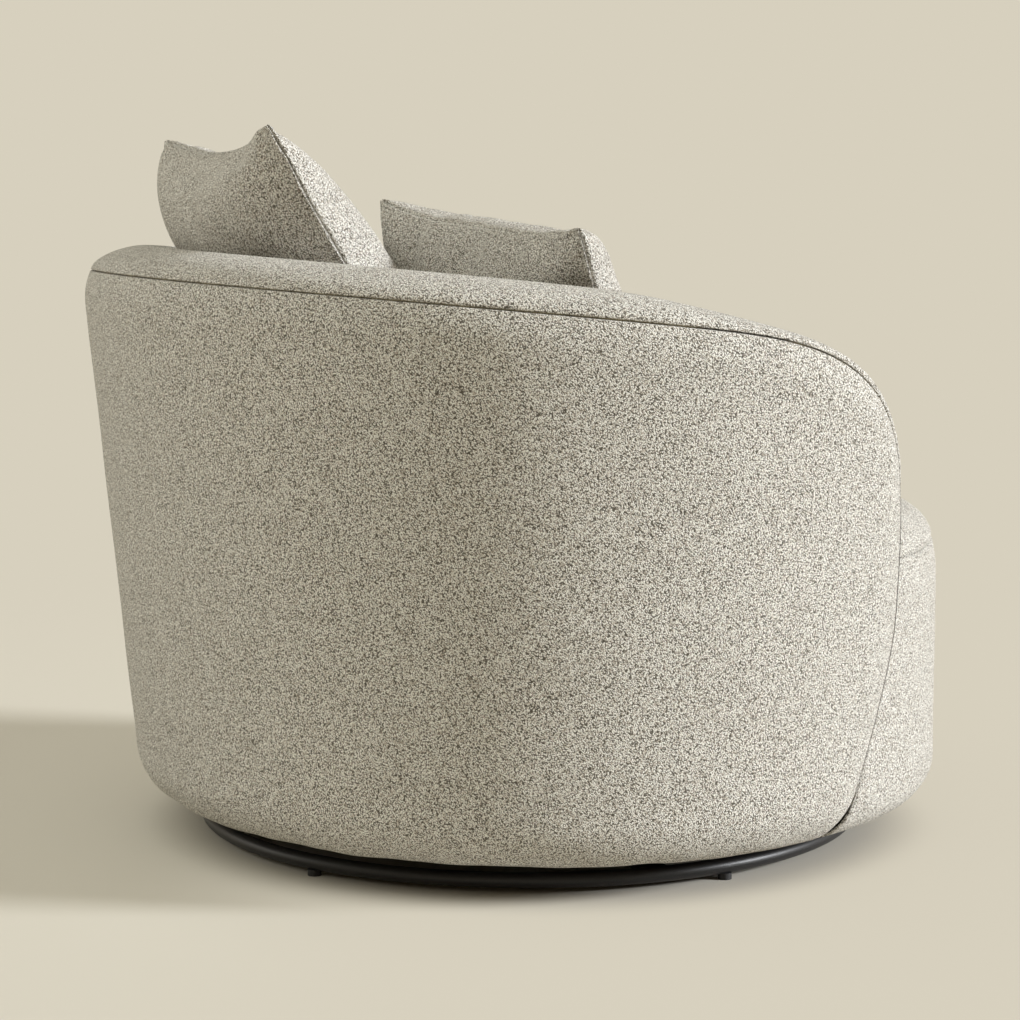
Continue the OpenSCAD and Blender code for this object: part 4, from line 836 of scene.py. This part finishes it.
def sew_edge(piece, edge):
    """Draws the seam that joins the two faces into the cushion."""
    made = bmesh.new()
    made.from_mesh(piece.data)
    made.verts.ensure_lookup_table()
    on_edge = set(edge)
    half = len(made.faces) // 2
    seam_edges = [e for e in made.edges if e.verts[0].index in on_edge and e.verts[1].index in on_edge
                  and len(e.link_faces) == 2
                  and (e.link_faces[0].index < half) != (e.link_faces[1].index < half)]
    cut = bmesh.ops.bevel(made, geom=seam_edges, offset=SEW_WIDE, offset_type="OFFSET", segments=2,
                          profile=0.5, affect="EDGES", clamp_overlap=True)
    middle = [v for v in cut["verts"] if all(f in cut["faces"] for f in v.link_faces)]
    made.normal_update()
    for v in middle:
        v.co -= v.normal * SEW_DEEP
    made.to_mesh(piece.data)
    made.free()


def placed(foot, turn, lean, tilt):
    """How a cushion stands: its foot, then its turn, lean and tilt in degrees."""
    return (Matrix.Translation(foot) @ Matrix.Rotation(math.radians(turn), 4, "Z")
            @ Matrix.Rotation(math.radians(90 - lean), 4, "X") @ Matrix.Rotation(math.radians(tilt), 4, "Z"))


def foot_of(node, wide, high, depths, stand):
    """Where a cushion's foot stands, from the box of its cover in the construction."""
    shares = np.sin(np.radians(np.linspace(-90, 90, 15)))
    u, v = (a.ravel() for a in np.meshgrid(shares, shares))
    points = []
    for side in (1, -1):
        face = cushion_point(wide, high, depths, u, v, side)
        face[:, 2] += side * EDGE / 2
        points.append(face)
    world = np.concatenate(points) @ np.array(placed((0, 0, 0), *stand).to_3x3()).T
    return Vector(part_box(node)[0]) - Vector(world.min(0))


def cushion(node, wide, high, depths, faces, cells, stand, waist, sag, cap, folds, neighbours):
    """One loose cushion: its cover, filled as cloth and sewn, and the filling inside it. Depths and faces
    are the front's and the rear's; stand is its turn, lean and tilt in degrees."""
    name = node + "_cloth"
    mesh, edge = cushion_mesh(name, wide, high, faces, cells, waist, sag)
    mesh.materials.append(pillow_cloth)
    piece = link(name, mesh)
    inflate(piece, edge, cap)
    points = folded(np.array([v.co for v in mesh.vertices]), wide, high, *folds)
    seat = placed(foot_of(node + "_cover", wide, high, depths, stand), *stand)
    points = pressed(points, seat, neighbours)
    mesh.vertices.foreach_set("co", points.ravel())
    mesh.update()

    inner = mesh.copy()
    inner.name = name + "_filling"
    normals = np.array([v.normal for v in inner.vertices])
    inner.vertices.foreach_set("co", (points - normals * FILLING_INSET).ravel())
    inner.materials.clear()
    inner.materials.append(fibre)
    filling = link(node + "_filling", inner)

    sew_edge(piece, edge)
    for made in (piece, filling):
        made.data.transform(seat)
        made.data.shade_smooth()
    finer = piece.modifiers.new("finer", "SUBSURF")
    finer.levels = finer.render_levels = 1
    finished(piece, node, node + "_cover")
    finished(filling, node, node + "_insert")
    return piece


# The rim without its sewn-in edges, the plain inside and the seat bear the cushions
edges_in = len(SEWN_IN)
shell_surfaces = [surface_through(band_grid[:, edges_in:-edges_in]), surface_through(inner_plain),
                  surface_of(seat_top)]
back_cushion = cushion(
    "back_cushion", wide=502 * MM, high=527 * MM, depths=(92 * MM, 86 * MM),
    faces=(Face(71 * MM, near=0.5, far=0.5, form=2.4, rising=0.6, growth=0.0),
           Face(88 * MM, near=1.0, far=0.42, form=4.5, rising=0.6, growth=0.6)),
    cells=(64, 66), stand=(0, 30.5, -2.0), waist=0.05, sag=(0.12, 2), cap=22 * MM,
    folds=(3.0, 5 * MM), neighbours=shell_surfaces)
cushion(
    "lumbar_cushion", wide=458 * MM, high=384 * MM, depths=(98 * MM, 60 * MM),
    faces=(Face(93 * MM, near=0.65, far=0.5, form=4.5, rising=0.5, growth=0.0),
           Face(58 * MM, near=0.9, far=0.5, form=3.0, rising=0.6, growth=0.0)),
    cells=(58, 48), stand=(10.3, 22.0, 3.9), waist=0.03, sag=(0.11, 4), cap=15 * MM,
    folds=(8.0, 4 * MM), neighbours=shell_surfaces + [surface_of(back_cushion)])


# Backdrop, floor and lights

BACKDROP = (0.680, 0.631, 0.515)
AMBIENT = (0.26, 0.21, 0.15)
# Lamps: side off the chair's back and height in degrees, strength per colour, spread in degrees
Lamp = namedtuple("Lamp", "side up light spread")
KEY_LAMP = Lamp(150, 18, (1.38, 1.41, 1.46), 12)
SKY_LAMP = Lamp(0, 60, (0.43, 0.45, 0.42), 80)
SIDE_LAMP = Lamp(-35, 20, (0.15, 0.146, 0.136), 40)
# Share of a wide lamp's light that reaches the floor, against a narrow one
WIDE_SHARE = 0.95


def sun(name, lamp):
    """A lamp from an angle off the chair's back and an elevation."""
    side, up = math.radians(lamp.side), math.radians(lamp.up)
    data = bpy.data.lights.new(name, "SUN")
    data.energy = max(lamp.light) * math.pi
    data.color = [part / max(lamp.light) for part in lamp.light]
    data.angle = math.radians(lamp.spread)
    towards = Vector((math.sin(side) * math.cos(up), -math.cos(side) * math.cos(up), -math.sin(up)))
    made = link(name, data)
    made.rotation_mode = "QUATERNION"
    made.rotation_quaternion = towards.to_track_quat("-Z", "Y")


sun("key", KEY_LAMP)
sun("sky_light", SKY_LAMP)
sun("side_light", SIDE_LAMP)

# The camera sees the plain backdrop; the chair gets the ambient light
world = bpy.data.worlds.new("backdrop")
bpy.context.scene.world = world
world.use_nodes = True
world.node_tree.nodes.clear()
w = Nodes(world.node_tree)
seen = w.node("ShaderNodeBackground", {}, {"Color": opaque(BACKDROP)})
around = w.node("ShaderNodeBackground", {}, {"Color": opaque(AMBIENT)})
to_camera = w.node("ShaderNodeLightPath", {}, {}, "Is Camera Ray")
chosen = w.node("ShaderNodeMixShader", {}, {0: to_camera, 1: around, 2: seen})
plug(w.tree, chosen, w.tree.nodes.new("ShaderNodeOutputWorld").inputs["Surface"])

# The floor takes the light near the chair, more so where its shadow falls, and is plain backdrop farther off
FLOOR_HALF = 40.0
# Share of plain backdrop in the floor round the chair, and what the key lamp's side of it adds to that
FLOOR_PLAIN, FLOOR_CLEAR = 0.08, 0.8
# Distances from the swivel axis over which that share and then the plain backdrop take over
PLAIN_FROM, PLAIN_ALL = (0.43, 0.55), (1.2, 2.4)
# Where the key lamp's side begins and is full, towards the right of the picture
CLEAR_SIDE = (-0.5, -0.1)

floor_mesh = bpy.data.meshes.new("floor")
floor_corners = [(x * FLOOR_HALF, y * FLOOR_HALF, 0) for x, y in ((-1, -1), (1, -1), (1, 1), (-1, 1))]
floor_mesh.from_pydata(floor_corners, [], [(0, 1, 2, 3)])
floor = link("floor", floor_mesh)
f = Finish("floor", Roughness=1.0, Specular_IOR_Level=0.0)
key_fall = math.sin(math.radians(KEY_LAMP.up))
sky_fall = math.sin(math.radians(SKY_LAMP.up)) * WIDE_SHARE
side_fall = math.sin(math.radians(SIDE_LAMP.up))
f.colour(tuple(b / (a + k * key_fall + s * sky_fall + w * side_fall)
               for b, a, k, s, w in zip(BACKDROP, AMBIENT, KEY_LAMP.light, SKY_LAMP.light, SIDE_LAMP.light)))
place = f.place()
away = f.node("ShaderNodeVectorMath", {"operation": "LENGTH"}, {0: place}, "Value")
plain = f.node("ShaderNodeEmission", {}, {"Color": opaque(BACKDROP)})
camera_ray = f.node("ShaderNodeLightPath", {}, {}, "Is Camera Ray")
lateral = f.node("ShaderNodeVectorMath", {"operation": "DOT_PRODUCT"},
                 {0: place, 1: (-math.sin(CAMERA_SWING), -math.cos(CAMERA_SWING), 0)}, "Value")
plain_share = away.between(*PLAIN_FROM) * (FLOOR_PLAIN + lateral.between(*CLEAR_SIDE) * FLOOR_CLEAR)
share = (plain_share + away.between(*PLAIN_ALL) * (1 - plain_share)) * camera_ray
mixed = f.node("ShaderNodeMixShader", {}, {0: share, 1: Wire(f.tree, f.surface.outputs[0]), 2: plain})
plug(f.tree, mixed, f.output.inputs["Surface"])
floor_mesh.materials.append(f.material)
